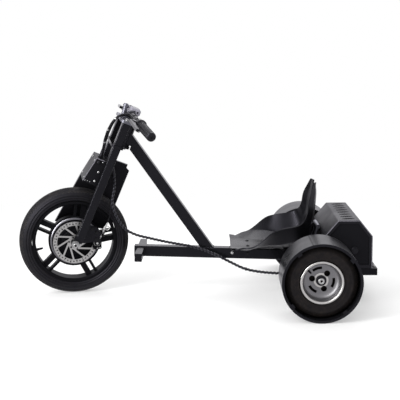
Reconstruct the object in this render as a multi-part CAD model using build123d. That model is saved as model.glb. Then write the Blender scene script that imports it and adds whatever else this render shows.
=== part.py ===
"""Electric drift trike: a hub-motor front wheel, a low bucket seat and two sleeved kart wheels.

Lengths are in millimetres.  +Z is up, the trike faces -X and the rider's left side is -Y.
The origin lies on the floor, at the middle of the trike's overall length and width.
The steering assembly is built straight in its own frame and then turned as it stands parked.
"""
import os
from math import atan2, cos, degrees, radians, sin, sqrt, tan

from build123d import *

os.makedirs("parts", exist_ok=True)

# Steering geometry.
RAKE = 23.3
STEER_ANGLE = 13.2
FORK_OFFSET = 32.0
LEG_OFFSET = 27.0
LEG_SPACING = 146.0

# Seating clearance between pieces that touch, and the air round pieces that turn.
SEAT_GAP = 0.3
RUNNING_GAP = 0.5

# Front wheel, 16 inch, with its motor drum and brake rotor.
FRONT_TYRE_R = 205.0
FRONT_TYRE_SECTION_R = 31.0
FRONT_TYRE_WALL = 5.0
FRONT_RIM_R = 158.0
FRONT_RIM_INNER_R = 145.0
FRONT_RIM_WIDTH = 56.0
FRONT_RIM_FLANGE = 5.0
SPOKE_COUNT = 5
SPOKE_THICKNESS = 24.0
SPOKE_PAIR_GAP = 14.0
SPOKE_ARM_WIDE = 20.0
SPOKE_ARM_THIN = 9.0
SPOKE_PHASE = 32.0
DRUM_R = 90.0
DRUM_HALF_WIDTH = 16.0
DRUM_CONE_R = 58.0
DRUM_FACE_R = 46.0
DRUM_FACE = 26.0
VALVE_ANGLE = 215.0
VALVE_R = 4.0
VALVE_LENGTH = 24.0
ROTOR_R = 81.0
ROTOR_RING = 15.0
ROTOR_BACK = 32.0
ROTOR_THICKNESS = 3.0
ROTOR_ARMS = 10
ROTOR_ARM_WIDTH = 6.0
ROTOR_ARM_ROOT_R = 22.0
ROTOR_ARM_LAG = 58.0
ROTOR_CARRIER_R = 27.0
ROTOR_CARRIER_BORE_R = 15.0
ROTOR_HOLES = 20
ROTOR_HOLE_R = 2.8
FRONT_AXLE_R = 7.0
FRONT_BORE_R = 7.05
AXLE_NUT_ACROSS = 22.0
AXLE_NUT_LENGTH = 10.0
AXLE_WASHER_R = 14.0
AXLE_WASHER = 2.5

# Fork.
LEG_SIZE = 30.0
LEG_WALL = 2.5
LEG_FRONT_FOOT_Z = 36.0
LEG_REAR_FOOT_Z = 23.0
DROPOUT_THICKNESS = 7.5
DROPOUT_HALF_WIDTH = 15.0
LOWER_YOKE_Z = 398.0
UPPER_YOKE_Z = 494.0
YOKE_THICKNESS = 9.0
YOKE_DEPTH = 46.0
YOKE_EDGE = 6.0
STEERER_R = 14.0
HEAD_TUBE_R = 24.0
HEAD_TUBE_BORE_R = 20.0
HEAD_CUP_R = 27.0
HEAD_CUP_HEIGHT = 7.0

# Handlebar and its controls.
BAR_R = 11.1
BAR_FORWARD = -14.0
BAR_Z = 525.0
BAR_HALF_FLAT = 52.0
BAR_HALF_LENGTH = 304.0
BAR_SWEEP_BACK = 44.0
BAR_DROP = 17.5
BAR_BEND_R = 70.0
GRIP_R = 16.5
GRIP_LENGTH = 138.0
GRIP_FLANGE_R = 21.0
GRIP_FLANGE_WIDTH = 6.0
LEVER_CLAMP_R = 17.0
LEVER_CLAMP_WIDTH = 22.0
LEVER_REACH = 34.0
LEVER_BLADE = 10.0
RISER_WIDTH = 20.0
RISER_DEPTH = 30.0
RISER_SPACING = 54.0
RISER_CAP = 15.0
RISER_PLATE = 6.0
KEY_POST_R = 8.5
KEY_POST_X = -45.0
KEY_POST_LEAN = -7.0
KEY_POST_HEIGHT = 44.0

# Controller housing on the fork, and the deep case on its right side.
HOUSING_TOP_Z = 334.0
HOUSING_FRONT_TOP = -78.0
HOUSING_FRONT_BOTTOM = -96.0
HOUSING_FRONT_BOTTOM_Z = 237.0
HOUSING_BACK = -13.0
HOUSING_BACK_BOTTOM_Z = 216.0
SIDE_CASE_DEPTH = 13.5
SIDE_CASE_BACK_TOP = 57.0
SIDE_CASE_BACK = 71.0
SIDE_CASE_STEP_Z = 314.0
SIDE_CASE_FRONT_BOTTOM = -120.0
SIDE_CASE_BOTTOM_Z = 50.0
SIDE_CASE_BACK_BOTTOM_Z = 68.0

# Rear wheels: kart rims and tyres in slick plastic sleeves.  Their size follows the sleeve.
WHEELBASE = 892.0
TRACK_OUTER_WIDTH = 852.0
SLEEVE_R = 136.4
SLEEVE_WALL = 9.0
SLEEVE_WIDTH = 160.0
SLEEVE_LUG = 7.0
REAR_RIM_R = 0.515 * SLEEVE_R
REAR_RIM_WIDTH = 118.0
REAR_RIM_WALL = 0.03 * SLEEVE_R
REAR_RIM_DISH = 50.0
REAR_TYRE_WIDTH = 132.0
REAR_TYRE_WALL = 0.05 * SLEEVE_R
REAR_HUB_R = 0.25 * SLEEVE_R
REAR_AXLE_R = 10.0
REAR_BORE_R = 10.05
HUB_HOLES = 3

# Frame.  The beam falls to the rear, where it meets the cross beam near the axle's height.
FRAME_TUBE = 40.0
FRAME_WALL = 2.5
AXLE_Z = SLEEVE_R
BEAM_FRONT_X = 228.0
BEAM_FRONT_Z = AXLE_Z + 26.6
BEAM_REAR_Z = AXLE_Z + 5.6
BEAM_REAR_X = WHEELBASE - FRAME_TUBE / 2 - SEAT_GAP
BEAM_SLOPE = (BEAM_FRONT_Z - BEAM_REAR_Z) / (BEAM_REAR_X - BEAM_FRONT_X)
DOWN_TUBE_TOP_Z = 400.0
DOWN_TUBE_FOOT = 274.0
PEG_WIDTH = 27.0
PEG_HEIGHT = 30.0
PEG_WALL = 2.5
PEG_REACH = 132.0
PEG_INSET = 24.0
CROSS_BEAM_HALF = 205.0

# Seat.
SEAT_WALL = 5.0
SEAT_BRACKET_DEPTH = 30.0
SEAT_BRACKET_WIDTH = 150.0
SEAT_BRACKET_WALL = 4.0
SEAT_BRACKET_FRONT = -237.0
SEAT_BRACKET_REAR = -92.0
STRUT_R = 8.0
STRUT_HALF_SPACING = 42.0

# Tray and battery box, behind the cross beam.
TRAY_FRONT_X = WHEELBASE + FRAME_TUBE / 2 + SEAT_GAP
TRAY_REAR_X = WHEELBASE + 222.0
TRAY_TOP_Z = AXLE_Z - 5.4
TRAY_LIP = 25.0
TRAY_PLATE = 4.0
BOX_HALF_WIDTH = 188.0
TRAY_HALF_WIDTH = BOX_HALF_WIDTH + 2.0
BOX_FRONT_X = WHEELBASE + 32.0
BOX_REAR_X = WHEELBASE + 204.0
BOX_HEIGHT = 175.0
BOX_FRONT_BEVEL = 49.0
BOX_REAR_BEVEL = 46.0
BOX_BEVEL_HEIGHT = 58.0
BOX_WALL = 3.0
BOX_FLANGE = 9.0
BOX_END_THICKNESS = 3.0
BOX_EDGE_R = 8.0
LOUVRE_COUNT = 8
LOUVRE_PITCH = 44.0
LOUVRE_LENGTH = 44.0
LOUVRE_WIDTH = 5.0
BATTERY_MARGIN = 14.0
BATTERY_SIDE_MARGIN = 32.0
BATTERY_HEIGHT = 98.0

# The controller housing fills the space between the legs.
HOUSING_WIDTH = LEG_SPACING - LEG_SIZE - 2 * SEAT_GAP


def wheel_axis_tilt():
    """Z component of the turned front wheel's axle direction."""
    return sin(radians(STEER_ANGLE)) * sin(radians(RAKE))


def axle_height():
    """Height of the turned front wheel's centre, with its tyre on the floor."""
    ring_r = FRONT_TYRE_R - FRONT_TYRE_SECTION_R
    return FRONT_TYRE_SECTION_R + ring_r * sqrt(1 - wheel_axis_tilt() ** 2)


def beam_z(x):
    """Height of the beam's centre line."""
    return BEAM_FRONT_Z - BEAM_SLOPE * (x - BEAM_FRONT_X)


# The fork frame: its origin is the point of the steering axis nearest the front axle.
# Its z runs up the steering axis and its x points backwards.
FORK_FOOT_X = FORK_OFFSET * cos(radians(RAKE))
FORK_FOOT_Z = axle_height() - FORK_OFFSET * cos(radians(STEER_ANGLE)) * sin(radians(RAKE))
STRAIGHT_FORK = Pos(FORK_FOOT_X, 0, FORK_FOOT_Z) * Rot(0, RAKE, 0)
TURNED_FORK = STRAIGHT_FORK * Rot(0, 0, STEER_ANGLE)

# Overall length: from the front tyre's foremost point to the tray's rear lip.
WHEEL_CENTRE = (TURNED_FORK * Pos(-FORK_OFFSET, 0, 0)).position
TURN_COS = sqrt(1 - (sin(radians(STEER_ANGLE)) * cos(radians(RAKE))) ** 2)
TRIKE_FRONT_X = (WHEEL_CENTRE.X - FRONT_TYRE_SECTION_R
                 - (FRONT_TYRE_R - FRONT_TYRE_SECTION_R) * TURN_COS)
MIDDLE_X = (TRIKE_FRONT_X + TRAY_REAR_X) / 2
TO_ORIGIN = Pos(-MIDDLE_X, 0, 0)


def save(name, solid, location=None):
    """Writes one node, placed in the trike's frame."""
    placed = TO_ORIGIN * (location * solid if location is not None else solid)
    export_step(placed, f"parts/{name}.step")


def fork_axle_frame():
    """Location of the front wheel's centre in the fork frame, with z along the axle."""
    return Pos(-FORK_OFFSET, 0, 0) * Rot(90, 0, 0)


def ring(outer_r, inner_r, low, high):
    """A plain ring about z between two heights."""
    body = Pos(0, 0, low) * Cylinder(outer_r, high - low, align=(Align.CENTER, Align.CENTER, Align.MIN))
    bore = Pos(0, 0, low) * Cylinder(inner_r, high - low, align=(Align.CENTER, Align.CENTER, Align.MIN))
    return body - bore


def disc(radius, low, high):
    """A plain disc about z between two heights."""
    return Pos(0, 0, low) * Cylinder(radius, high - low, align=(Align.CENTER, Align.CENTER, Align.MIN))


def square_tube(size, wall, length, corner=4.0):
    """A square tube along z from the origin, with rounded corners."""
    outer = RectangleRounded(size, size, corner)
    inner = RectangleRounded(size - 2 * wall, size - 2 * wall, corner - wall + 0.5)
    return extrude(outer - inner, length)


def turned(points):
    """Revolves a closed outline of (radius, height) points about z."""
    outline = Polyline(*[(r, 0, z) for r, z in points], close=True)
    return revolve(make_face(outline), Axis.Z)


# Front wheel, about z, with +z on the rider's left side after fork_axle_frame turns it.
def front_tyre():
    """Balloon tyre: a hollow round carcass, open where its beads sit on the rim."""
    ring_r = FRONT_TYRE_R - FRONT_TYRE_SECTION_R
    section = Circle(FRONT_TYRE_SECTION_R) - Circle(FRONT_TYRE_SECTION_R - FRONT_TYRE_WALL)
    bead = Pos(FRONT_RIM_R / 2, 0) * Rectangle(FRONT_RIM_R, 4 * FRONT_TYRE_SECTION_R)
    profile = Plane.XZ * (Pos(ring_r, 0) * section - bead)
    return revolve(profile, Axis.Z)


def front_rim():
    """Cast rim: a channelled hoop, five twin spokes and a collar round the motor drum."""
    half = FRONT_RIM_WIDTH / 2
    seat_r = FRONT_RIM_R - SEAT_GAP
    inner = FRONT_RIM_INNER_R
    lip = FRONT_RIM_FLANGE
    hoop = turned([
        (inner + lip, -half), (seat_r, -half), (seat_r, -half + lip), (seat_r - lip, -half + 2 * lip),
        (seat_r - lip, half - 2 * lip), (seat_r, half - lip), (seat_r, half), (inner + lip, half),
        (inner, half - lip), (inner, -half + lip),
    ])
    collar_in = DRUM_R + SEAT_GAP
    collar = ring(collar_in + 7, collar_in, -SPOKE_THICKNESS / 2, SPOKE_THICKNESS / 2)
    spoke_in = collar_in + 4
    spoke_out = inner + lip
    arms = []
    for index in range(SPOKE_COUNT):
        turn = Rot(0, 0, SPOKE_PHASE + index * 360 / SPOKE_COUNT)
        for low, high in ((-SPOKE_PAIR_GAP / 2 - SPOKE_ARM_WIDE, -SPOKE_PAIR_GAP / 2),
                          (SPOKE_PAIR_GAP / 2, SPOKE_PAIR_GAP / 2 + SPOKE_ARM_THIN)):
            arm = Pos((spoke_in + spoke_out) / 2, (low + high) / 2, 0) * Box(
                spoke_out - spoke_in, high - low, SPOKE_THICKNESS)
            arms.append(turn * arm)
    return hoop + collar + arms


def valve_stem():
    """Rubber valve stem, standing inwards on the rim."""
    stem = turned([
        (0, 0), (VALVE_R + 2, 0), (VALVE_R + 1, 5), (VALVE_R, VALVE_LENGTH - 6),
        (VALVE_R - 1, VALVE_LENGTH), (0, VALVE_LENGTH),
    ])
    seat = FRONT_RIM_INNER_R - SEAT_GAP
    return Rot(0, 0, VALVE_ANGLE) * Pos(seat, 0, 0) * Rot(0, -90, 0) * stem


def motor_drum():
    """Hub motor: a flat drum with a coned cover on each side, bored for the fixed axle."""
    half = DRUM_HALF_WIDTH
    boss = ROTOR_BACK - SEAT_GAP
    return turned([
        (FRONT_BORE_R, -DRUM_FACE), (DRUM_FACE_R, -DRUM_FACE), (DRUM_CONE_R, -half),
        (DRUM_R - 5, -half), (DRUM_R, -half + 4), (DRUM_R, half - 4), (DRUM_R - 5, half),
        (DRUM_CONE_R, half), (DRUM_FACE_R, DRUM_FACE), (ROTOR_CARRIER_R + 2, DRUM_FACE),
        (ROTOR_CARRIER_R, boss), (ROTOR_CARRIER_BORE_R, boss), (ROTOR_CARRIER_BORE_R, DRUM_FACE),
        (FRONT_BORE_R, DRUM_FACE),
    ])


def brake_rotor():
    """Brake disc: a perforated ring on ten swept arms and a carrier."""
    middle = ROTOR_BACK + ROTOR_THICKNESS / 2
    rim = ring(ROTOR_R, ROTOR_R - ROTOR_RING, ROTOR_BACK, ROTOR_BACK + ROTOR_THICKNESS)
    carrier = ring(ROTOR_CARRIER_R, ROTOR_CARRIER_BORE_R, ROTOR_BACK, ROTOR_BACK + ROTOR_THICKNESS)
    lag = radians(ROTOR_ARM_LAG)
    root_x = ROTOR_ARM_ROOT_R * cos(lag)
    root_y = -ROTOR_ARM_ROOT_R * sin(lag)
    tip_x = ROTOR_R - ROTOR_RING + 3
    reach = sqrt((tip_x - root_x) ** 2 + root_y ** 2)
    lean = degrees(atan2(-root_y, tip_x - root_x))
    arms = []
    holes = []
    for index in range(ROTOR_ARMS):
        body = Box(reach, ROTOR_ARM_WIDTH, ROTOR_THICKNESS, align=(Align.MIN, Align.CENTER, Align.CENTER))
        turn = Rot(0, 0, index * 360 / ROTOR_ARMS)
        arms.append(turn * Pos(root_x, root_y, middle) * Rot(0, 0, lean) * body)
    for index in range(ROTOR_HOLES):
        radius = ROTOR_R - ROTOR_RING * (0.3 if index % 2 else 0.68)
        turn = Rot(0, 0, (index + 0.5) * 360 / ROTOR_HOLES)
        holes.append(turn * Pos(radius, 0, middle) * Cylinder(ROTOR_HOLE_R, 3 * ROTOR_THICKNESS))
    return rim + carrier + arms - holes


def save_front_wheel():
    """Tyre, rim, motor drum and rotor; the rotor is on the rider's left."""
    place = TURNED_FORK * fork_axle_frame()
    save("front_tyre", front_tyre(), place)
    save("front_rim", front_rim(), place)
    save("valve_stem", valve_stem(), place)
    save("motor_drum", motor_drum(), place)
    save("brake_rotor", brake_rotor(), place)


# Fork, in the fork frame.
def fork_leg(side):
    """Square leg whose foot is cut on the slant above the axle."""
    low = LEG_REAR_FOOT_Z
    length = UPPER_YOKE_Z - SEAT_GAP - low
    tube = Pos(-LEG_OFFSET, side * LEG_SPACING / 2, low) * square_tube(LEG_SIZE, LEG_WALL, length)
    slant = degrees(atan2(LEG_FRONT_FOOT_Z - LEG_REAR_FOOT_Z, LEG_SIZE))
    foot = Pos(-LEG_OFFSET + LEG_SIZE / 2, side * LEG_SPACING / 2, low) * Rot(0, slant, 0) * Box(
        3 * LEG_SIZE, 2 * LEG_SIZE, LEG_SIZE, align=(Align.CENTER, Align.CENTER, Align.MAX))
    return tube - foot


DROPOUT_FACE = LEG_SPACING / 2 - LEG_SIZE / 2 - SEAT_GAP - DROPOUT_THICKNESS

# Outlines of the dropout plates: x back, z up the fork, from the axle's centre.
DROPOUT_TOP_Z = 46.0
CALIPER_PLATE = [(20.0, 88.0), (57.0, 87.0), (75.0, 73.0), (73.0, 39.0), (32.0, 16.0)]


def dropout(side):
    """Axle plate inside a leg's foot; the left one reaches back and carries the caliper."""
    tab = Circle(DROPOUT_HALF_WIDTH) + Pos(2, DROPOUT_TOP_Z / 2) * Rectangle(
        2 * DROPOUT_HALF_WIDTH - 4, DROPOUT_TOP_Z)
    if side < 0:
        tab = tab + make_face(Polyline((-8, 20), (-8, 88), *CALIPER_PLATE, (10, 10), close=True))
    plate = extrude(tab - Circle(FRONT_AXLE_R + SEAT_GAP), DROPOUT_THICKNESS)
    height = DROPOUT_FACE if side < 0 else -DROPOUT_FACE - DROPOUT_THICKNESS
    return fork_axle_frame() * Pos(0, 0, height) * plate


def front_axle():
    """Fixed axle through both dropouts, with a spacer, a washer and a nut at each end."""
    face = DROPOUT_FACE + DROPOUT_THICKNESS + SEAT_GAP
    half = face + AXLE_WASHER + AXLE_NUT_LENGTH + 4
    pieces = []
    for side in (-1, 1):
        turn = Rot(0 if side > 0 else 180, 0, 0)
        nut = extrude(RegularPolygon(AXLE_NUT_ACROSS / sqrt(3), 6), AXLE_NUT_LENGTH)
        pieces.append(turn * Pos(0, 0, face + AXLE_WASHER) * nut)
        pieces.append(turn * disc(AXLE_WASHER_R, face, face + AXLE_WASHER))
        pieces.append(turn * disc(FRONT_AXLE_R + 4, DRUM_FACE + RUNNING_GAP, DROPOUT_FACE - SEAT_GAP))
    return fork_axle_frame() * (Cylinder(FRONT_AXLE_R, 2 * half) + pieces)


def yoke(height):
    """Yoke across both legs; the steering stem passes through its round back."""
    width = LEG_SPACING + LEG_SIZE + 2 * YOKE_EDGE
    plate = Pos(-LEG_OFFSET, 0) * RectangleRounded(YOKE_DEPTH, width, 12)
    back = make_hull((Circle(HEAD_CUP_R + 3) + Pos(-LEG_OFFSET, 0) * Rectangle(YOKE_DEPTH - 4, 60)).edges())
    bore = Circle(STEERER_R + SEAT_GAP)
    return Pos(0, 0, height) * extrude(plate + back - bore, YOKE_THICKNESS)


def lower_yoke():
    """Lower yoke, which both legs pass through."""
    cuts = [Pos(-LEG_OFFSET, side * LEG_SPACING / 2, LOWER_YOKE_Z) * Box(
        LEG_SIZE + 2 * SEAT_GAP, LEG_SIZE + 2 * SEAT_GAP, 4 * YOKE_THICKNESS) for side in (-1, 1)]
    return yoke(LOWER_YOKE_Z) - cuts


def steerer():
    """Steering stem with its foot and its top nut."""
    low = LOWER_YOKE_Z - SEAT_GAP
    high = UPPER_YOKE_Z + YOKE_THICKNESS + SEAT_GAP
    nut = Pos(0, 0, high) * extrude(RegularPolygon(STEERER_R + 4, 6), RISER_PLATE)
    return disc(STEERER_R, low, high) + nut + disc(STEERER_R + 5, low - 5, low)


def bar_point(side, reach):
    """Point of the handlebar's centre line at a distance from the middle."""
    share = max(0.0, (reach - BAR_HALF_FLAT) / (BAR_HALF_LENGTH - BAR_HALF_FLAT))
    return (BAR_FORWARD + BAR_SWEEP_BACK * share, side * reach, BAR_Z - BAR_DROP * share)


def handlebar():
    """Bent bar: a flat middle and two straight swept ends."""
    path = FilletPolyline(
        bar_point(-1, BAR_HALF_LENGTH), bar_point(-1, BAR_HALF_FLAT),
        bar_point(1, BAR_HALF_FLAT), bar_point(1, BAR_HALF_LENGTH), radius=BAR_BEND_R)
    start = Plane(origin=path @ 0, z_dir=path % 0)
    return sweep(start * Circle(BAR_R), path=path)


def bar_end_frame(side):
    """Location at one end of the bar, with z pointing outwards along it."""
    tip = Vector(*bar_point(side, BAR_HALF_LENGTH))
    root = Vector(*bar_point(side, BAR_HALF_FLAT))
    return Plane(origin=tip, x_dir=(1, 0, 0), z_dir=(tip - root).normalized()).location


def grip(side):
    """Rubber grip with an inner flange and a holed end."""
    bore_r = BAR_R + SEAT_GAP
    flange_top = -GRIP_LENGTH + GRIP_FLANGE_WIDTH
    outline = [
        (bore_r, -GRIP_LENGTH), (GRIP_FLANGE_R, -GRIP_LENGTH), (GRIP_FLANGE_R, flange_top),
        (GRIP_R, flange_top + 3), (GRIP_R, -1), (GRIP_R - 3, 3), (4, 3), (4, SEAT_GAP), (bore_r, SEAT_GAP),
    ]
    return bar_end_frame(side) * turned(outline)


def brake_lever(side):
    """Brake lever: a clamp on the bar, a pivot block in front and a blade along the grip."""
    top = -GRIP_LENGTH - 2
    low = top - LEVER_CLAMP_WIDTH
    clamp = ring(LEVER_CLAMP_R, BAR_R + SEAT_GAP, low, top)
    block = Pos(-LEVER_CLAMP_R, 0, (low + top) / 2) * Box(
        LEVER_REACH - LEVER_BLADE, 0.9 * LEVER_CLAMP_R, LEVER_CLAMP_WIDTH)
    block = block - disc(BAR_R + SEAT_GAP, low - 1, top + 1)
    blade_line = Polyline(
        (-LEVER_REACH - LEVER_BLADE / 2, low + 2), (-LEVER_REACH + LEVER_BLADE, low + 2),
        (-LEVER_REACH + LEVER_BLADE, top), (-LEVER_REACH, top + 0.35 * GRIP_LENGTH),
        (-LEVER_REACH - LEVER_BLADE / 2, top + 0.78 * GRIP_LENGTH),
        (-LEVER_REACH - 1.5 * LEVER_BLADE, top + 0.78 * GRIP_LENGTH),
        (-LEVER_REACH - LEVER_BLADE, top + 0.3 * GRIP_LENGTH), close=True)
    blade = extrude(make_face(Plane.XZ * blade_line), LEVER_BLADE / 2, both=True)
    return bar_end_frame(side) * (clamp + block + blade)


def bar_riser():
    """Base plate on the upper yoke with two split posts that grip the bar."""
    low = UPPER_YOKE_Z + YOKE_THICKNESS + SEAT_GAP
    plate = Pos(BAR_FORWARD - 7, 0, low) * extrude(
        RectangleRounded(RISER_DEPTH + 22, RISER_SPACING + RISER_WIDTH, 6), RISER_PLATE)
    nut_room = disc(STEERER_R + 5, low - 1, low + RISER_PLATE + 1)
    posts = []
    for side in (-1, 1):
        foot = Pos(BAR_FORWARD, side * RISER_SPACING / 2, low) * Box(
            RISER_DEPTH, RISER_WIDTH, BAR_Z - low, align=(Align.CENTER, Align.CENTER, Align.MIN))
        cap = Pos(BAR_FORWARD, side * RISER_SPACING / 2, BAR_Z) * Rot(90, 0, 0) * Cylinder(
            RISER_CAP, RISER_WIDTH)
        posts.append(foot + cap)
    bore = Pos(BAR_FORWARD, 0, BAR_Z) * Rot(90, 0, 0) * Cylinder(BAR_R + SEAT_GAP, 4 * RISER_SPACING)
    return plate + posts - bore - nut_room


def key_post():
    """Leaning post with the key switch, in front of the bar."""
    low = UPPER_YOKE_Z + YOKE_THICKNESS + 2 * SEAT_GAP + RISER_PLATE
    lean = Pos(KEY_POST_X + KEY_POST_R, 0, low) * Rot(0, KEY_POST_LEAN, 0)
    post = lean * Pos(0, 0, -RISER_PLATE) * Cylinder(
        KEY_POST_R, KEY_POST_HEIGHT + RISER_PLATE, align=(Align.CENTER, Align.CENTER, Align.MIN))
    collar = lean * disc(KEY_POST_R + 2.5, KEY_POST_HEIGHT - 9, KEY_POST_HEIGHT - 2)
    under = Pos(0, 0, low) * Box(400, 400, 60, align=(Align.CENTER, Align.CENTER, Align.MAX))
    return post + collar - under


def display():
    """Rounded display over the bar's middle, held on the bar between the posts."""
    width = RISER_SPACING - RISER_WIDTH - 4
    body = Pos(BAR_FORWARD + 10, 0, BAR_Z + 14) * Box(40, width + 34, 24)
    body = fillet(body.edges(), 7)
    bar_room = Pos(BAR_FORWARD, 0, BAR_Z) * Rot(90, 0, 0) * Cylinder(RISER_CAP + 1, 4 * RISER_SPACING)
    strap = Pos(BAR_FORWARD, 0, BAR_Z) * Rot(90, 0, 0) * (
        Cylinder(RISER_CAP, width) - Cylinder(BAR_R + SEAT_GAP, 2 * width))
    neck = Pos(BAR_FORWARD, 0, BAR_Z + BAR_R + 1) * Box(
        12, width, 10, align=(Align.CENTER, Align.CENTER, Align.MIN))
    return body - bar_room + strap + neck


def housing_solid(points, near, far):
    """A side outline in x and z, extruded between two widths."""
    face = make_face(Plane.XZ * Polyline(*points, close=True))
    return Pos(0, near, 0) * extrude(face, far - near, dir=(0, 1, 0))


def controller_housing():
    """Folded metal housing between the legs, above the tyre."""
    points = [
        (HOUSING_FRONT_TOP, HOUSING_TOP_Z), (HOUSING_BACK, HOUSING_TOP_Z),
        (HOUSING_BACK, HOUSING_BACK_BOTTOM_Z), (HOUSING_FRONT_TOP + 35, HOUSING_FRONT_BOTTOM_Z - 3),
        (HOUSING_FRONT_BOTTOM, HOUSING_FRONT_BOTTOM_Z),
    ]
    return housing_solid(points, -HOUSING_WIDTH / 2, HOUSING_WIDTH / 2 - SIDE_CASE_DEPTH - SEAT_GAP)


def side_case():
    """Flared case on the rider's right, hanging beside the wheel."""
    points = [
        (HOUSING_FRONT_TOP, HOUSING_TOP_Z), (SIDE_CASE_BACK_TOP, HOUSING_TOP_Z),
        (SIDE_CASE_BACK_TOP, SIDE_CASE_STEP_Z + 8), (SIDE_CASE_BACK, SIDE_CASE_STEP_Z),
        (SIDE_CASE_BACK, SIDE_CASE_BACK_BOTTOM_Z), (-FORK_OFFSET - DROPOUT_HALF_WIDTH, SIDE_CASE_BOTTOM_Z),
        (SIDE_CASE_FRONT_BOTTOM, SIDE_CASE_BOTTOM_Z - 16), (-112.0, 96.0), (HOUSING_FRONT_BOTTOM - 7, 180.0),
        (HOUSING_FRONT_BOTTOM, HOUSING_FRONT_BOTTOM_Z),
    ]
    return housing_solid(points, HOUSING_WIDTH / 2 - SIDE_CASE_DEPTH, HOUSING_WIDTH / 2)


CALIPER_ANGLE = 22.0
CALIPER_REACH = 82.0
CALIPER_LENGTH = 54.0
CALIPER_DEPTH = 34.0
CALIPER_INNER = 21.5
CALIPER_OUTER = 44.0
CALIPER_FOOT_R = 6.0
PAD_GAP = 1.5
# Cable stop on the caliper's outer face, in the caliper's own frame: outline of its lug, and its barrel.
CABLE_LUG = [(2.0, 15.0), (15.0, 10.0), (30.0, 38.0), (19.0, 46.0), (8.0, 30.0)]
CABLE_LUG_THICKNESS = 6.0
CABLE_BARREL_FOOT = (22.3, 42.0, 43.0)
CABLE_BARREL_LEAN = 26.6
CABLE_BARREL_R = 4.0
CABLE_BARREL_LENGTH = 24.6


def caliper_frame():
    """Location of the caliper on the rotor's edge, behind the left leg."""
    turn = Rot(0, 0, CALIPER_ANGLE)
    return fork_axle_frame() * turn * Pos(CALIPER_REACH, 0, 0)


def brake_caliper():
    """Cable disc caliper, slotted for the rotor and bolted to the left dropout."""
    depth = CALIPER_OUTER - CALIPER_INNER
    body = Pos(0, 0, CALIPER_INNER) * extrude(
        RectangleRounded(CALIPER_DEPTH, CALIPER_LENGTH, 8), depth)
    middle = ROTOR_BACK + ROTOR_THICKNESS / 2
    slot = Pos(-CALIPER_DEPTH / 2 + 4, 0, middle) * Box(
        CALIPER_DEPTH, 2 * CALIPER_LENGTH, ROTOR_THICKNESS + 2 * PAD_GAP)
    drum = Pos(0, 0, CALIPER_OUTER) * Cylinder(
        11, 5, align=(Align.CENTER, Align.CENTER, Align.MIN))
    feet = [Pos(-8, y, CALIPER_OUTER) * Cylinder(
        CALIPER_FOOT_R, DROPOUT_FACE - SEAT_GAP - CALIPER_OUTER,
        align=(Align.CENTER, Align.CENTER, Align.MIN)) for y in (-CALIPER_LENGTH / 3, CALIPER_LENGTH / 3)]
    lug = Pos(0, 0, CALIPER_OUTER + 2 - CABLE_LUG_THICKNESS) * extrude(
        make_face(Polyline(*CABLE_LUG, close=True)), CABLE_LUG_THICKNESS)
    barrel = Pos(*CABLE_BARREL_FOOT) * Rot(0, 0, -CABLE_BARREL_LEAN) * Rot(-90, 0, 0) * (
        disc(CABLE_BARREL_R, -4, 0.6 * CABLE_BARREL_LENGTH) + disc(CABLE_BARREL_R - 1, 0, CABLE_BARREL_LENGTH))
    return caliper_frame() * (body + drum + feet + lug + barrel - slot)


# Cables on the fork, in the fork frame: route points and the bend radius at each inner point.
BRAKE_CABLE_R = 2.5
BRAKE_CABLE_POINTS = [
    (HOUSING_BACK + SEAT_GAP, -30.0, 306.0), (6.0, -33.0, 297.0), (20.0, -38.0, 276.0), (27.0, -44.0, 245.0),
    (28.0, -48.0, 212.0), (35.0, -49.0, 183.0), (46.0, -47.0, 155.0), (52.5, -44.0, 128.0), (51.0, -43.0, 103.2),
]
BUNDLE_R = 5.0
BUNDLE_POINTS = [
    (BAR_FORWARD - BAR_R - SEAT_GAP, -46.0, 523.0), (-46.0, -45.0, 518.0), (-66.0, -42.0, 499.0),
    (-78.0, -35.0, 468.0), (-80.0, -26.0, 434.0), (-75.0, -18.0, 400.0), (-64.0, -12.0, 367.0),
    (-57.0, -8.0, HOUSING_TOP_Z + 1.3),
]


def bend_radii(points):
    """A radius at each inner point: as large as its shorter run allows."""
    radii = []
    for before, here, after in zip(points, points[1:], points[2:]):
        run_in = Vector(*here) - Vector(*before)
        run_out = Vector(*after) - Vector(*here)
        turn = radians(run_in.get_angle(run_out))
        radii.append(0.45 * min(run_in.length, run_out.length) / tan(turn / 2))
    return radii


def cord(points, radius):
    """A round cord along a filleted route."""
    path = FilletPolyline(*points, radius=bend_radii(points))
    start = Plane(origin=path @ 0, z_dir=path % 0)
    solid = sweep(start * Circle(radius), path=path)
    print("cord length", round(path.length, 1), "radii", [round(r) for r in bend_radii(points)],
          "volume ratio", round(solid.volume / (path.length * 3.14159265 * radius ** 2), 3))
    return solid


def behind_housing(solid):
    """A cord in the fork frame, cut flush with the housing's back face."""
    housing = Pos(HOUSING_BACK + SEAT_GAP, 0, HOUSING_TOP_Z) * Box(
        100, 2 * HOUSING_WIDTH, 100, align=(Align.MAX, Align.CENTER, Align.CENTER))
    return solid - housing


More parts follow.
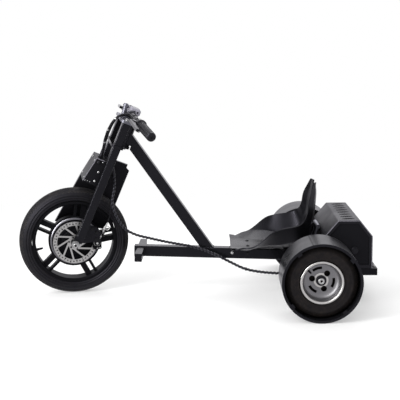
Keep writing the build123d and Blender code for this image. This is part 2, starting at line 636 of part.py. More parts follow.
def save_steering():
    """Everything that turns with the handlebar, apart from the wheel."""
    for name, side in (("left", -1), ("right", 1)):
        save(f"fork_leg_{name}", fork_leg(side), TURNED_FORK)
        save(f"dropout_{name}", dropout(side), TURNED_FORK)
        save(f"grip_{name}", grip(side), TURNED_FORK)
        save(f"brake_lever_{name}", brake_lever(side), TURNED_FORK)
    save("front_axle", front_axle(), TURNED_FORK)
    save("lower_yoke", lower_yoke(), TURNED_FORK)
    save("upper_yoke", yoke(UPPER_YOKE_Z), TURNED_FORK)
    save("steerer", steerer(), TURNED_FORK)
    save("handlebar", handlebar(), TURNED_FORK)
    save("bar_riser", bar_riser(), TURNED_FORK)
    save("key_post", key_post(), TURNED_FORK)
    save("display", display(), TURNED_FORK)
    save("controller_housing", controller_housing(), TURNED_FORK)
    save("side_case", side_case(), TURNED_FORK)
    save("brake_caliper", brake_caliper(), TURNED_FORK)
    save("cable_bundle", cord(BUNDLE_POINTS, BUNDLE_R), TURNED_FORK)
    save("brake_cable", behind_housing(cord(BRAKE_CABLE_POINTS, BRAKE_CABLE_R)), TURNED_FORK)


# Frame.
def head_tube():
    """Head tube with its two bearing cups, running clear of the steerer."""
    low = LOWER_YOKE_Z + YOKE_THICKNESS + RUNNING_GAP
    high = UPPER_YOKE_Z - RUNNING_GAP
    tube = ring(HEAD_TUBE_R, HEAD_TUBE_BORE_R, low + 1, high - 1)
    cups = [ring(HEAD_CUP_R, STEERER_R + 0.05, low, low + HEAD_CUP_HEIGHT),
            ring(HEAD_CUP_R, STEERER_R + 0.05, high - HEAD_CUP_HEIGHT, high)]
    return STRAIGHT_FORK * (tube + cups)


def down_tube():
    """Inclined square tube from the head tube to the beam."""
    foot_x = BEAM_FRONT_X + DOWN_TUBE_FOOT
    foot = Vector(foot_x, 0, beam_z(foot_x) + FRAME_TUBE / 2)
    head = (STRAIGHT_FORK * Pos(0, 0, (LOWER_YOKE_Z + UPPER_YOKE_Z) / 2)).position
    along = (foot - head).normalized()
    length = (foot - head).length
    frame = Plane(origin=head, x_dir=(0, 1, 0), z_dir=along)
    tube = frame.location * square_tube(FRAME_TUBE, FRAME_WALL, length + FRAME_TUBE)
    beam_top = Pos(foot_x, 0, foot.Z + SEAT_GAP) * Rot(0, degrees(atan2(BEAM_SLOPE, 1)), 0) * Box(
        length, 2 * FRAME_TUBE, length, align=(Align.CENTER, Align.CENTER, Align.MAX))
    head_room = STRAIGHT_FORK * disc(HEAD_TUBE_R + SEAT_GAP, 0, 2 * UPPER_YOKE_Z)
    cup_room = STRAIGHT_FORK * disc(
        HEAD_CUP_R + SEAT_GAP, UPPER_YOKE_Z - RUNNING_GAP - HEAD_CUP_HEIGHT - SEAT_GAP, UPPER_YOKE_Z)
    low_room = STRAIGHT_FORK * disc(
        HEAD_CUP_R + 2 * RISER_PLATE, 0, LOWER_YOKE_Z + YOKE_THICKNESS + RUNNING_GAP + HEAD_CUP_HEIGHT + SEAT_GAP)
    yoke_room = STRAIGHT_FORK * disc(length, UPPER_YOKE_Z - RUNNING_GAP, UPPER_YOKE_Z + length)
    return tube - beam_top - head_room - cup_room - low_room - yoke_room


def on_beam(x, rise=0.0):
    """Location on the beam's centre line, tilted with it and raised square to it."""
    return Pos(x, 0, beam_z(x)) * Rot(0, degrees(atan2(BEAM_SLOPE, 1)), 0) * Pos(0, 0, rise)


def main_beam():
    """Square beam from the foot pegs to the rear cross beam."""
    length = (BEAM_REAR_X - BEAM_FRONT_X) * sqrt(1 + BEAM_SLOPE ** 2)
    tube = on_beam(BEAM_FRONT_X) * Rot(0, 90, 0) * square_tube(FRAME_TUBE, FRAME_WALL, length + FRAME_TUBE)
    behind = Pos(BEAM_REAR_X, 0, AXLE_Z) * Box(
        4 * FRAME_TUBE, 4 * FRAME_TUBE, 4 * FRAME_TUBE, align=(Align.MIN, Align.CENTER, Align.CENTER))
    return tube - behind


def foot_peg(side):
    """Foot peg tube welded to the beam's side, capped at its outer end."""
    start = FRAME_TUBE / 2 + SEAT_GAP
    outer = RectangleRounded(PEG_WIDTH, PEG_HEIGHT, 3)
    inner = RectangleRounded(PEG_WIDTH - 2 * PEG_WALL, PEG_HEIGHT - 2 * PEG_WALL, 1)
    tube = extrude(outer, PEG_REACH - start) - extrude(inner, PEG_REACH - start - PEG_WALL)
    return on_beam(BEAM_FRONT_X + PEG_INSET) * Pos(0, side * start, 0) * Rot(-90 * side, 0, 0) * tube


def cross_beam():
    """Rear cross beam that carries the fixed rear axle."""
    tube = Rot(90, 0, 0) * Pos(0, 0, -CROSS_BEAM_HALF) * square_tube(FRAME_TUBE, FRAME_WALL, 2 * CROSS_BEAM_HALF)
    plugs = [Pos(0, side * (CROSS_BEAM_HALF - 10), 0) * Box(FRAME_TUBE - 1, 20, FRAME_TUBE - 1)
             for side in (-1, 1)]
    bore = Rot(90, 0, 0) * Cylinder(REAR_AXLE_R + SEAT_GAP, 3 * CROSS_BEAM_HALF)
    return Pos(WHEELBASE, 0, AXLE_Z) * (tube + plugs - bore)


HUB_FACE_Y = TRACK_OUTER_WIDTH / 2 - 4 - REAR_RIM_DISH


def rear_axle():
    """Fixed rear axle with a washer and a nut at each wheel."""
    half = HUB_FACE_Y + 17
    face = HUB_FACE_Y + RUNNING_GAP
    pieces = []
    for side in (-1, 1):
        turn = Rot(0 if side > 0 else 180, 0, 0)
        pieces.append(turn * disc(REAR_AXLE_R + 6, face, face + 2))
        pieces.append(turn * Pos(0, 0, face + 2) * extrude(RegularPolygon(REAR_AXLE_R + 6, 6), 9))
    return Pos(WHEELBASE, 0, AXLE_Z) * Rot(90, 0, 0) * (Cylinder(REAR_AXLE_R, 2 * half) + pieces)


def box_outline():
    """Side outline of the battery box, from its bottom front corner."""
    low = TRAY_TOP_Z + SEAT_GAP
    high = low + BOX_HEIGHT
    return [
        (BOX_FRONT_X, low), (BOX_FRONT_X, high - BOX_BEVEL_HEIGHT),
        (BOX_FRONT_X + BOX_FRONT_BEVEL, high), (BOX_REAR_X - BOX_REAR_BEVEL, high),
        (BOX_REAR_X, high - BOX_BEVEL_HEIGHT), (BOX_REAR_X, low),
    ]


def box_slice(inset, near, far):
    """The box's side outline, drawn in by an inset, between two widths."""
    face = make_face(Plane.XZ * Polyline(*box_outline(), close=True))
    if inset:
        face = offset(face, -inset, kind=Kind.INTERSECTION)
    return Pos(0, near, 0) * extrude(face, far - near, dir=(0, 1, 0))


def box_shell():
    """Folded wrap of the battery box: louvred on top, with a flange round each open end."""
    half = BOX_HALF_WIDTH
    outer = box_slice(0, -half, half)
    outer = fillet(outer.edges().filter_by(Axis.Y), BOX_EDGE_R)
    hollow = box_slice(BOX_WALL, BOX_WALL - half, half - BOX_WALL)
    window = box_slice(BOX_WALL + BOX_FLANGE, -half - 1, half + 1)
    louvres = []
    top = TRAY_TOP_Z + SEAT_GAP + BOX_HEIGHT
    middle_x = (BOX_FRONT_X + BOX_FRONT_BEVEL + BOX_REAR_X - BOX_REAR_BEVEL) / 2
    for index in range(LOUVRE_COUNT):
        y = (index - (LOUVRE_COUNT - 1) / 2) * LOUVRE_PITCH
        slot = extrude(SlotOverall(LOUVRE_LENGTH, LOUVRE_WIDTH), 2 * BOX_WALL, both=True)
        louvres.append(Pos(middle_x, y, top) * Rot(0, 0, 8) * slot)
    return outer - hollow - window - louvres


def box_end(side):
    """End plate, held behind the wrap's flange."""
    near = BOX_HALF_WIDTH - BOX_WALL - SEAT_GAP - BOX_END_THICKNESS
    plate = box_slice(BOX_WALL + SEAT_GAP, near, near + BOX_END_THICKNESS)
    return plate if side > 0 else mirror(plate, about=Plane.XZ)


def battery_pack():
    """The battery, one plain block in the box."""
    low = TRAY_TOP_Z + 2 * SEAT_GAP + BOX_WALL
    length = BOX_REAR_X - BOX_FRONT_X - 2 * BATTERY_MARGIN
    centre_x = (BOX_FRONT_X + BOX_REAR_X) / 2
    return Pos(centre_x, 0, low) * Box(
        length, 2 * (BOX_HALF_WIDTH - BATTERY_SIDE_MARGIN), BATTERY_HEIGHT,
        align=(Align.CENTER, Align.CENTER, Align.MIN))


def tray():
    """Tray behind the cross beam, with its rim folded down."""
    length = TRAY_REAR_X - TRAY_FRONT_X
    centre_x = (TRAY_REAR_X + TRAY_FRONT_X) / 2
    outer = Pos(centre_x, 0, TRAY_TOP_Z - TRAY_LIP) * Box(
        length, 2 * TRAY_HALF_WIDTH, TRAY_LIP, align=(Align.CENTER, Align.CENTER, Align.MIN))
    inner = Pos(centre_x, 0, TRAY_TOP_Z - TRAY_LIP - 1) * Box(
        length - 2 * TRAY_PLATE, 2 * (TRAY_HALF_WIDTH - TRAY_PLATE), TRAY_LIP - TRAY_PLATE + 1,
        align=(Align.CENTER, Align.CENTER, Align.MIN))
    return outer - inner


# Bucket seat: U-shaped sections from the front lip to the top of the back, from the rear axle and its height.
# Each row: spine x, spine z, rim x, rim z, half width of the flat, half width and rise of the shoulder,
# half width at the rim, radius at the shoulder.
SEAT_SECTIONS = [
    (-302, 48, -303, 59, 80, 100, 3, 114, 8),
    (-268, 46, -270, 57, 80, 112, 3, 138, 10),
    (-236, 44, -240, 60, 76, 124, 5, 152, 10),
    (-204, 43, -210, 72, 72, 150, 21, 169, 6),
    (-176, 43, -183, 94, 70, 140, 25, 175, 7),
    (-148, 43, -158, 115, 70, 128, 25, 169, 10),
    (-118, 44, -134, 126, 72, 119, 23, 158, 18),
    (-80, 46, -98, 134, 74, 114, 28, 149, 30),
    (-40, 54, -58, 141, 74, 110, 30, 144, 36),
    (-14, 76, -39, 152, 72, 106, 28, 137, 36),
    (-3, 114, -28, 168, 70, 103, 21, 124, 34),
    (6, 156, -21, 188, 68, 102, 14, 120, 26),
    (11, 192, -17, 208, 66, 100, 11, 119, 20),
    (15, 228, -11, 233, 58, 90, 9, 108, 16),
    (17, 258, -2, 259, 46, 68, 6, 82, 12),
    (18, 284, 9, 286, 36, 49, 3, 58, 8),
]
SEAT_FLAT_R = 30.0
SEAT_NOTCH_HALF = 30.0
SEAT_NOTCH_DEPTH = 26.0


def inset(points, distance):
    """The right half of a U outline, moved inwards; it starts on a flat bottom."""
    normals = [Vector(0, 1)]
    for here, there in zip(points, points[1:]):
        along = (Vector(*there) - Vector(*here)).normalized()
        normals.append(Vector(-along.Y, along.X))
    moved = []
    for point, before, after in zip(points, normals, normals[1:] + normals[-1:]):
        moved.append(Vector(*point) + (before + after) * (distance / (1 + before.dot(after))))
    return [(point.X, point.Y) for point in moved]


def u_line(half, radii):
    """A U outline from its right half, filleted at its inner corners."""
    mirrored = [(-x, z) for x, z in half[::-1]]
    return FilletPolyline(*mirrored, *half, radius=radii[::-1] + radii)


def seat_section(row):
    """Closed U outline of one section, in its own plane."""
    spine_x, spine_z, rim_x, rim_z, flat, shoulder, rise, rim, radius = row
    up = Vector(rim_x - spine_x, 0, rim_z - spine_z)
    spine = (WHEELBASE + spine_x, 0, AXLE_Z + spine_z)
    plane = Plane(origin=spine, x_dir=(0, 1, 0), z_dir=Vector(0, 1, 0).cross(up))
    outside = [(flat, 0), (shoulder, rise), (rim, up.length)]
    inside = inset(outside, SEAT_WALL)
    outer = u_line(outside, [SEAT_FLAT_R, radius])
    inner = u_line(inside, [SEAT_FLAT_R - SEAT_WALL, max(radius - SEAT_WALL, 3)])
    ends = [Line(outside[-1], inside[-1]),
            Line((-inside[-1][0], inside[-1][1]), (-outside[-1][0], outside[-1][1]))]
    return plane * make_face([*outer.edges(), ends[0], *inner.edges(), ends[1]])


def seat_shell():
    """Moulded bucket seat, one wall thick, with two horns at the top of its back."""
    shell = loft([seat_section(row) for row in SEAT_SECTIONS])
    top = SEAT_SECTIONS[-1]
    notch = Pos(WHEELBASE + top[0], 0, AXLE_Z + top[1]) * Rot(0, -90, 0) * extrude(
        Ellipse(SEAT_NOTCH_DEPTH, SEAT_NOTCH_HALF), 4 * SEAT_NOTCH_DEPTH, both=True)
    return shell - notch


def seat_bracket(x):
    """Cross strap between the beam and the seat's pan: a folded channel."""
    low = FRAME_TUBE / 2 + SEAT_GAP
    pan = AXLE_Z + SEAT_SECTIONS[6][1] - 2 * SEAT_GAP
    high = pan - beam_z(x)
    strap = on_beam(x, low) * Box(
        SEAT_BRACKET_DEPTH, SEAT_BRACKET_WIDTH, high - low, align=(Align.CENTER, Align.CENTER, Align.MIN))
    hollow = on_beam(x, low - 1) * Box(
        SEAT_BRACKET_DEPTH - 2 * SEAT_BRACKET_WALL, SEAT_BRACKET_WIDTH + 2, high - low - SEAT_BRACKET_WALL + 1,
        align=(Align.CENTER, Align.CENTER, Align.MIN))
    return strap - hollow


def seat_strut():
    """Two stays and a crosspiece from the cross beam up to the seat's back."""
    low = AXLE_Z + FRAME_TUBE / 2 + SEAT_GAP
    foot = Vector(WHEELBASE - 6, 0, low)
    head = Vector(WHEELBASE + 24, 0, AXLE_Z + 120)
    along = head - foot
    stays = []
    for side in (-1, 1):
        frame = Plane(origin=foot + Vector(0, side * STRUT_HALF_SPACING, 0) - along.normalized() * 20,
                      z_dir=along)
        stays.append(frame.location * disc(STRUT_R, 0, along.length + 20))
    bar = Pos(head.X, 0, head.Z) * Rot(90, 0, 0) * Cylinder(STRUT_R, 2 * STRUT_HALF_SPACING + 2 * STRUT_R)
    under = Pos(foot.X, 0, low) * Box(400, 400, 60, align=(Align.CENTER, Align.CENTER, Align.MAX))
    return bar + stays - under


def charge_port():
    """Charging socket with its cap, on the left end plate."""
    face = BOX_HALF_WIDTH - BOX_WALL
    centre_x = WHEELBASE + 140
    socket = disc(13, 0, 4) + disc(10, 4, 9)
    return Pos(centre_x, -face, AXLE_Z + 60) * Rot(90, 0, 0) * socket


# Cable harness: from behind the left fork leg along the beam to the tray's underside.
HARNESS_R = 5.5
HARNESS_POINTS = [
    (149.5, -46, 499.6), (164, -46, 452), (163, -64, 402), (152, -70, 356), (167, -68, 306), (196, -64, 256),
    (240, -60, 232), (281, -57, 222), (345, -52, 205), (421, -46, 190), (480, -44, 176), (541, -44, 149),
    (596, -50, 121), (646, -60, 98), (710, -66, 88), (775, -72, 85), (842, -78, 82), (900, -84, 79),
    (958, -90, 87), (1000, -94, TRAY_TOP_Z - TRAY_PLATE - 4.3),
]


def harness():
    """Harness from the back of the controller housing to the tray's underside."""
    return TURNED_FORK * behind_housing(TURNED_FORK.inverse() * cord(HARNESS_POINTS, HARNESS_R))


def save_frame():
    """Frame, seat, tray, battery box and harness."""
    save("head_tube", head_tube())
    save("down_tube", down_tube())
    save("main_beam", main_beam())
    save("foot_peg_left", foot_peg(-1))
    save("foot_peg_right", foot_peg(1))
    save("cross_beam", cross_beam())
    save("rear_axle", rear_axle())
    save("tray", tray())
    save("box_shell", box_shell())
    save("box_end_left", box_end(-1))
    save("box_end_right", box_end(1))
    save("battery_pack", battery_pack())
    save("charge_port", charge_port())
    save("seat_shell", seat_shell())
    save("seat_bracket_front", seat_bracket(WHEELBASE + SEAT_BRACKET_FRONT))
    save("seat_bracket_rear", seat_bracket(WHEELBASE + SEAT_BRACKET_REAR))
    save("seat_strut", seat_strut())
    save("harness", harness())


# Rear wheels, about z, with +z towards the outside.
def rear_sleeve():
    """Slick plastic sleeve over the kart tyre, with four short lugs inside its outer edge."""
    body = ring(SLEEVE_R, SLEEVE_R - SLEEVE_WALL, -SLEEVE_WIDTH / 2, SLEEVE_WIDTH / 2)
    inner = SLEEVE_R - SLEEVE_WALL
    lugs = []
    for index in range(4):
        lug = Pos(inner - SLEEVE_LUG / 2 + 1, 0, SLEEVE_WIDTH / 2 - 5) * Box(SLEEVE_LUG + 2, 16, 8)
        lugs.append(Rot(0, 0, 38 + index * 90) * lug)
    return body + lugs


def rear_tyre():
    """Kart tyre, seated inside the sleeve: a hollow carcass with rounded shoulders."""
    outer = SLEEVE_R - SLEEVE_WALL - SEAT_GAP
    inner = REAR_RIM_R + SEAT_GAP
    half = REAR_TYRE_WIDTH / 2
    wall = REAR_TYRE_WALL
    bead = REAR_RIM_WIDTH / 2 - 4
    shoulder = 0.16 * SLEEVE_R
    profile = [
        (inner, -bead), (inner + wall, -bead - 3), (inner + shoulder, -half), (outer - shoulder, -half + 1),
        (outer - shoulder / 3, -half + shoulder / 2), (outer, -half + shoulder),
        (outer, half - shoulder), (outer - shoulder / 3, half - shoulder / 2),
        (outer - shoulder, half - 1), (inner + shoulder, half), (inner + wall, bead + 3), (inner, bead),
    ]
    hollow = [
        (inner, -bead + wall), (inner + shoulder, -half + wall), (outer - shoulder, -half + wall),
        (outer - wall, -half + shoulder), (outer - wall, half - shoulder), (outer - shoulder, half - wall),
        (inner + shoulder, half - wall), (inner, bead - wall),
    ]
    return turned(profile + hollow[::-1])


def rear_rim():
    """Deep-dish rim: barrel with a rolled lip, and the web that the hub is bolted to."""
    half = REAR_RIM_WIDTH / 2
    outer = REAR_RIM_R
    wall = REAR_RIM_WALL
    web = SLEEVE_WIDTH / 2 - 4 - REAR_RIM_DISH
    lip = half + 6
    barrel = turned([
        (outer - wall, -half), (outer, -half), (outer, half), (outer + 3, half + 2), (outer + 3, lip),
        (outer - 3, lip), (outer - wall, half),
    ])
    plate = turned([
        (REAR_AXLE_R + 5, web - 5), (outer - 3 * wall, web - 5), (outer - wall - 1, web + 10),
        (outer - wall + 1, web + 10), (outer - wall + 1, web + 15), (outer - wall - 2, web + 15),
        (outer - 4 * wall, web), (REAR_AXLE_R + 5, web),
    ])
    holes = [Rot(0, 0, 20 + index * 120) * Pos(0.2 * SLEEVE_R, 0, web) * Cylinder(0.05 * SLEEVE_R, 30)
             for index in range(HUB_HOLES)]
    slots = [Rot(0, 0, 80 + index * 120) * Pos(0, 0, web) * extrude(
        SlotArc(CenterArc((0, 0), 0.32 * SLEEVE_R, -26, 52), 0.06 * SLEEVE_R), 15, both=True)
        for index in range(HUB_HOLES)]
    return barrel + plate - holes - slots


def rear_hub():
    """Bearing hub behind the web, running on the fixed axle."""
    web = SLEEVE_WIDTH / 2 - 4 - REAR_RIM_DISH
    flange = ring(REAR_HUB_R - 14, REAR_BORE_R, web - 5 - 8 - SEAT_GAP, web - 5 - SEAT_GAP)
    barrel = ring(REAR_AXLE_R + 10, REAR_BORE_R, web - 78, web - 5 - SEAT_GAP)
    nose = ring(REAR_AXLE_R + 5 - SEAT_GAP, REAR_BORE_R, web - 6, web - RUNNING_GAP)
    return flange + barrel + nose


def save_rear_wheels():
    """Two like wheels, each about its end of the axle."""
    middle = TRACK_OUTER_WIDTH / 2 - SLEEVE_WIDTH / 2
    for name, side in (("left", -1), ("right", 1)):
        place = Pos(WHEELBASE, side * middle, AXLE_Z) * Rot(side * -90, 0, 0)
        save(f"rear_sleeve_{name}", rear_sleeve(), place)
        save(f"rear_tyre_{name}", rear_tyre(), place)
        save(f"rear_rim_{name}", rear_rim(), place)
        save(f"rear_hub_{name}", rear_hub(), place)


def report_joints():
    """Prints the joint positions and axes in metres."""
    axis = (TO_ORIGIN * TURNED_FORK * Pos(0, 0, 1)).position - (TO_ORIGIN * TURNED_FORK).position
    foot = (TO_ORIGIN * TURNED_FORK).position
    hub = (TO_ORIGIN * TURNED_FORK * Pos(-FORK_OFFSET, 0, 0)).position
    side = (TO_ORIGIN * TURNED_FORK * Pos(-FORK_OFFSET, 1, 0)).position - hub
    print("steering", [round(v / 1000, 6) for v in foot], [round(v, 6) for v in axis])
    print("front wheel", [round(v / 1000, 6) for v in hub], [round(v, 6) for v in side])
    print("rear wheels", round((WHEELBASE - MIDDLE_X) / 1000, 6), AXLE_Z / 1000, "middle x", MIDDLE_X)


if __name__ == "__main__":
    save_front_wheel()
    save_steering()
    save_frame()
    save_rear_wheels()
    report_joints()
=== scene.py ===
"""Electric drift trike: the visual model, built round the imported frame.

Every sub-assembly is a class whose build method dresses its CAD nodes or adds pieces of its own.
Lengths are in metres in the row frame: the trike faces -X, its left side is -Y and +Z is up.
"""

import logging
import math
from dataclasses import dataclass
from enum import Enum
from typing import Iterable, Optional, Sequence

import bmesh
import bpy
from mathutils import Matrix, Vector


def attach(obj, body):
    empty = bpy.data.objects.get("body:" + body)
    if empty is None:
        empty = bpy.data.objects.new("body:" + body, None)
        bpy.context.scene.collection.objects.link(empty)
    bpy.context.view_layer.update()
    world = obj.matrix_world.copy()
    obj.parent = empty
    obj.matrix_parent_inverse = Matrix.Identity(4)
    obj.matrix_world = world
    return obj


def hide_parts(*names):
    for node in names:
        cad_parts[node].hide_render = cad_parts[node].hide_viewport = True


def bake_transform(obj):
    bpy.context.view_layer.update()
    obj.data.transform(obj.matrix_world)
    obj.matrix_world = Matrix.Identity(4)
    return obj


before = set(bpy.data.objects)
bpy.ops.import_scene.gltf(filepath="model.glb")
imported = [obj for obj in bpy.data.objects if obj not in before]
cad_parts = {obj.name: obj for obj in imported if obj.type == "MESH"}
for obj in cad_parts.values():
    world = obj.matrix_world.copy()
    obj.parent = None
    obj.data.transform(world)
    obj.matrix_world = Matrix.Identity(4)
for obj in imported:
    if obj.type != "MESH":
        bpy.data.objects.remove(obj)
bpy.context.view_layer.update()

logging.basicConfig(level=logging.INFO, format="%(levelname)s %(message)s")
log = logging.getLogger("trike")

Point = tuple[float, float, float]
Profile = Sequence[tuple[float, float]]
Mark = tuple[Vector, Vector, Vector]

MM = 0.001
# Middle of the trike's length behind the straight front wheel's centre, in millimetres.
MIDDLE_X = 456.823
# Points of a CAD mesh nearer to each other than this are one point, in metres.
WELD = 0.000002
# Cool tints: of the sheen on paint, plastic and rubber, and of the backdrop that gloss mirrors.
SHEEN_TINT = (0.87, 0.85, 1.0, 1.0)
BACKDROP_TINT = (0.97, 0.96, 1.0, 1.0)


def srgb(code: str) -> tuple[float, float, float, float]:
    """Turns an sRGB hex colour into linear RGBA.

    Args:
        code: Six hex digits, with or without a leading hash.

    Returns:
        Linear red, green and blue, and an alpha of one.
    """
    text = code.lstrip("#")
    values = []
    for index in (0, 2, 4):
        value = int(text[index:index + 2], 16) / 255
        values.append(value / 12.92 if value <= 0.04045 else ((value + 0.055) / 1.055) ** 2.4)
    return values[0], values[1], values[2], 1.0


def add_node(tree: bpy.types.NodeTree, kind: str, settings: Optional[dict] = None,
             links: Optional[dict] = None) -> bpy.types.Node:
    """Adds one node with its settings and its incoming links.

    Args:
        tree: The node tree.
        kind: The node's type name.
        settings: Attributes, or input values keyed by the input's name or number.
        links: Sockets of other nodes, keyed by this node's input name or number.

    Returns:
        The new node.
    """
    node = tree.nodes.new(kind)
    for key, value in (settings or {}).items():
        if isinstance(key, int) or key in node.inputs:
            node.inputs[key].default_value = value
        else:
            setattr(node, key, value)
    for key, socket in (links or {}).items():
        tree.links.new(socket, node.inputs[key])
    return node


class Texture(Enum):
    """How a surface's fine relief was made."""
    MOULDED = "moulded"
    BRUSHED = "brushed"


@dataclass(frozen=True)
class Finish:
    """One material, from what the real one is.

    Attributes:
        name: Common material and surface.
        colour: Base colour, sRGB hex.
        shade: Second colour of the slow variation, sRGB hex.
        roughness: Middle roughness.
        metallic: 0 or 1.
        ior: Index of refraction, for what isn't a metal.
        gloss: Specular level: 0.5 leaves the reflection that the index gives.
        grain: Size of the fine relief, in millimetres.
        bump: Height of the fine relief, in millimetres.
        spread: How far the roughness varies.
        texture: How the relief runs.
        dust: Share of pale dust on the surface.
        dust_colour: Colour of that dust, sRGB hex.
    """
    name: str
    colour: str
    shade: str
    roughness: float
    metallic: float = 0.0
    ior: float = 1.5
    gloss: float = 0.5
    grain: float = 1.0
    bump: float = 0.05
    spread: float = 0.06
    texture: Texture = Texture.MOULDED
    dust: float = 0.0
    dust_colour: str = "#8a7d70"

    def material(self) -> bpy.types.Material:
        """Builds the material once and returns it.

        Returns:
            The node-based material.
        """
        made = bpy.data.materials.get(self.name)
        if made is not None:
            return made
        made = bpy.data.materials.new(self.name)
        made.use_nodes = True
        tree = made.node_tree
        shader = tree.nodes["Principled BSDF"]
        place = add_node(tree, "ShaderNodeTexCoord").outputs["Object"]
        if self.texture is Texture.BRUSHED:
            place = add_node(tree, "ShaderNodeMapping", {"Scale": (1.0, 1.0, 0.06)},
                             {"Vector": place}).outputs["Vector"]
        fine = add_node(tree, "ShaderNodeTexNoise", {"Scale": 1.0 / (self.grain * MM), "Detail": 3.0},
                        {"Vector": place})
        slow = add_node(tree, "ShaderNodeTexNoise", {"Scale": 9.0, "Detail": 4.0, "Roughness": 0.6},
                        {"Vector": place})
        tint = add_node(tree, "ShaderNodeMix",
                        {"data_type": "RGBA", 6: srgb(self.colour), 7: srgb(self.shade)},
                        {0: slow.outputs["Fac"]})
        colour = tint.outputs[2]
        rough = add_node(tree, "ShaderNodeMapRange",
                         {"From Min": 0.3, "From Max": 0.7, "To Min": self.roughness - self.spread,
                          "To Max": self.roughness + self.spread}, {"Value": slow.outputs["Fac"]}).outputs[0]
        if self.dust:
            spots = add_node(tree, "ShaderNodeTexNoise", {"Scale": 60.0, "Detail": 6.0, "Roughness": 0.7},
                             {"Vector": place})
            share = add_node(tree, "ShaderNodeMapRange",
                             {"From Min": 0.42, "From Max": 0.75, "To Min": 0.0, "To Max": self.dust},
                             {"Value": spots.outputs["Fac"]}).outputs[0]
            dusty = add_node(tree, "ShaderNodeMix", {"data_type": "RGBA", 7: srgb(self.dust_colour)},
                             {0: share, 6: colour})
            colour = dusty.outputs[2]
        bump = add_node(tree, "ShaderNodeBump", {"Strength": 0.6, "Distance": self.bump * MM},
                        {"Height": fine.outputs["Fac"]})
        tree.links.new(colour, shader.inputs["Base Color"])
        tree.links.new(rough, shader.inputs["Roughness"])
        tree.links.new(bump.outputs["Normal"], shader.inputs["Normal"])
        shader.inputs["Metallic"].default_value = self.metallic
        if not self.metallic:
            shader.inputs["IOR"].default_value = self.ior
            shader.inputs["Specular IOR Level"].default_value = self.gloss
            shader.inputs["Specular Tint"].default_value = SHEEN_TINT
        return made


# Powder coat: a satin black with a fine orange peel that breaks up its highlights.
POWDER = Finish("powder_coat_satin_black", "#0b0b0d", "#101012", 0.26, ior=1.45, gloss=0.3, grain=2.4,
                bump=0.02)
# Folded sheet under the same coat, a little rougher, so that broad panels turn grey at grazing angles.
SHEET = Finish("powder_coat_sheet_black", "#0e0e10", "#141416", 0.42, ior=1.45, gloss=0.17, grain=1.4,
               bump=0.05)
# Wrap of the battery box: the same coat, fresher, so that its slopes turn a cool grey under the backdrop.
WRAP_SHEET = Finish("powder_coat_box_wrap", "#0e0e10", "#141416", 0.46, ior=1.45, gloss=0.42, grain=1.6,
                    bump=0.03)
# Cast alloy under black paint: soft sheen and a faint casting relief.
CAST = Finish("cast_alloy_painted_black", "#0a0a0b", "#0e0e10", 0.46, ior=1.45, gloss=0.09, grain=2.2,
              bump=0.05)
# Tyre rubber: dull, with a trace of road dust.
RUBBER = Finish("tyre_rubber_moulded", "#0d0d0f", "#131315", 0.44, ior=1.45, gloss=0.28, grain=1.4,
                bump=0.04, dust=0.02)
# Tread blocks: scuffed by the road, so a shade paler.
TREAD = Finish("tyre_rubber_scuffed_tread", "#1a1a1b", "#242425", 0.6, ior=1.45, gloss=0.3, grain=0.8,
               bump=0.1, dust=0.10)
# Kart tyre after use: brownish dust over dull rubber.
KART_RUBBER = Finish("tyre_rubber_dusty", "#100f0f", "#1a1715", 0.6, gloss=0.16, grain=1.8, bump=0.06,
                     dust=0.14, dust_colour="#4a3f33")
# High-density polyethylene sleeve: waxy, and polished by sliding.
SLEEVE = Finish("polyethylene_sleeve_black", "#101012", "#17171a", 0.30, gloss=0.2, grain=3.0, bump=0.04)
# Butt weld of the sleeve: the same plastic, duller and darker. On the box's slots the same dark colour is
# painted shade of their openings.
SEAM_AND_SLOT_SHADE = Finish("polyethylene_seam_and_slot_shade", "#0a0a0b", "#101011", 0.5, gloss=0.22, grain=1.5, bump=0.08)
# Seat of roto-moulded polyethylene, satin with soft highlights.
SEAT = Finish("polyethylene_seat_black", "#0a0a0c", "#0f0f11", 0.30, ior=1.48, gloss=0.2, grain=1.2,
              bump=0.05)
# Ground steel of the brake disc.
STEEL = Finish("stainless_steel_ground", "#dcdbd8", "#c6c4c2", 0.34, metallic=1.0, grain=3.5, bump=0.01,
               spread=0.06, texture=Texture.BRUSHED)
# Turned zinc-plated steel of axles, nuts and bolts.
ZINC = Finish("steel_zinc_plated", "#cfcfcd", "#aeaeaf", 0.32, metallic=1.0, grain=3.0, bump=0.01)
# Machined alloy of the upper yoke, the bar clamp, the lock and the seat's stay.
ALLOY = Finish("aluminium_machined", "#8b8b94", "#777780", 0.42, metallic=1.0, grain=3.0, bump=0.01)
# Polished alloy of the rim's rolled lip and of the hub's flange, dulled by handling.
RIM = Finish("aluminium_polished_rim", "#f4f2ee", "#e2e0dc", 0.34, metallic=1.0, grain=5.0, bump=0.01,
             spread=0.05)
# Cast alloy dish of the kart rim, washed and slightly dull.
DISH = Finish("aluminium_cast_satin", "#a3a2a4", "#8f8e90", 0.46, metallic=1.0, grain=4.0, bump=0.02,
              spread=0.05)
# Inner side of the kart rim: the same alloy as the dish, darkened as painted shade of the wheel's inside.
BARREL_SHADE = Finish("aluminium_rim_painted_shade", "#2c2a29", "#3a3735", 0.55, metallic=1.0, grain=2.0, bump=0.04)
# Gloss-coated tube of the handlebar.
GLOSS = Finish("steel_gloss_black", "#0a0a0b", "#0f0f10", 0.22, gloss=0.35, grain=3.0, bump=0.02)
# Rubber of the grips, boots, caps and seals: matt and fine-ribbed.
GRIP = Finish("rubber_grip_ribbed", "#0e0e0f", "#141415", 0.42, ior=1.45, gloss=0.4, grain=0.7, bump=0.1)
# Grey ABS of the display housing.
GREY_ABS = Finish("abs_moulded_grey", "#8f8d97", "#87858f", 0.5, gloss=0.3, grain=4.0, bump=0.005)
# Cable jacket: soft PVC.
PVC = Finish("pvc_cable_black", "#0c0c0d", "#131314", 0.42, ior=1.45, gloss=0.3, grain=1.0, bump=0.05)
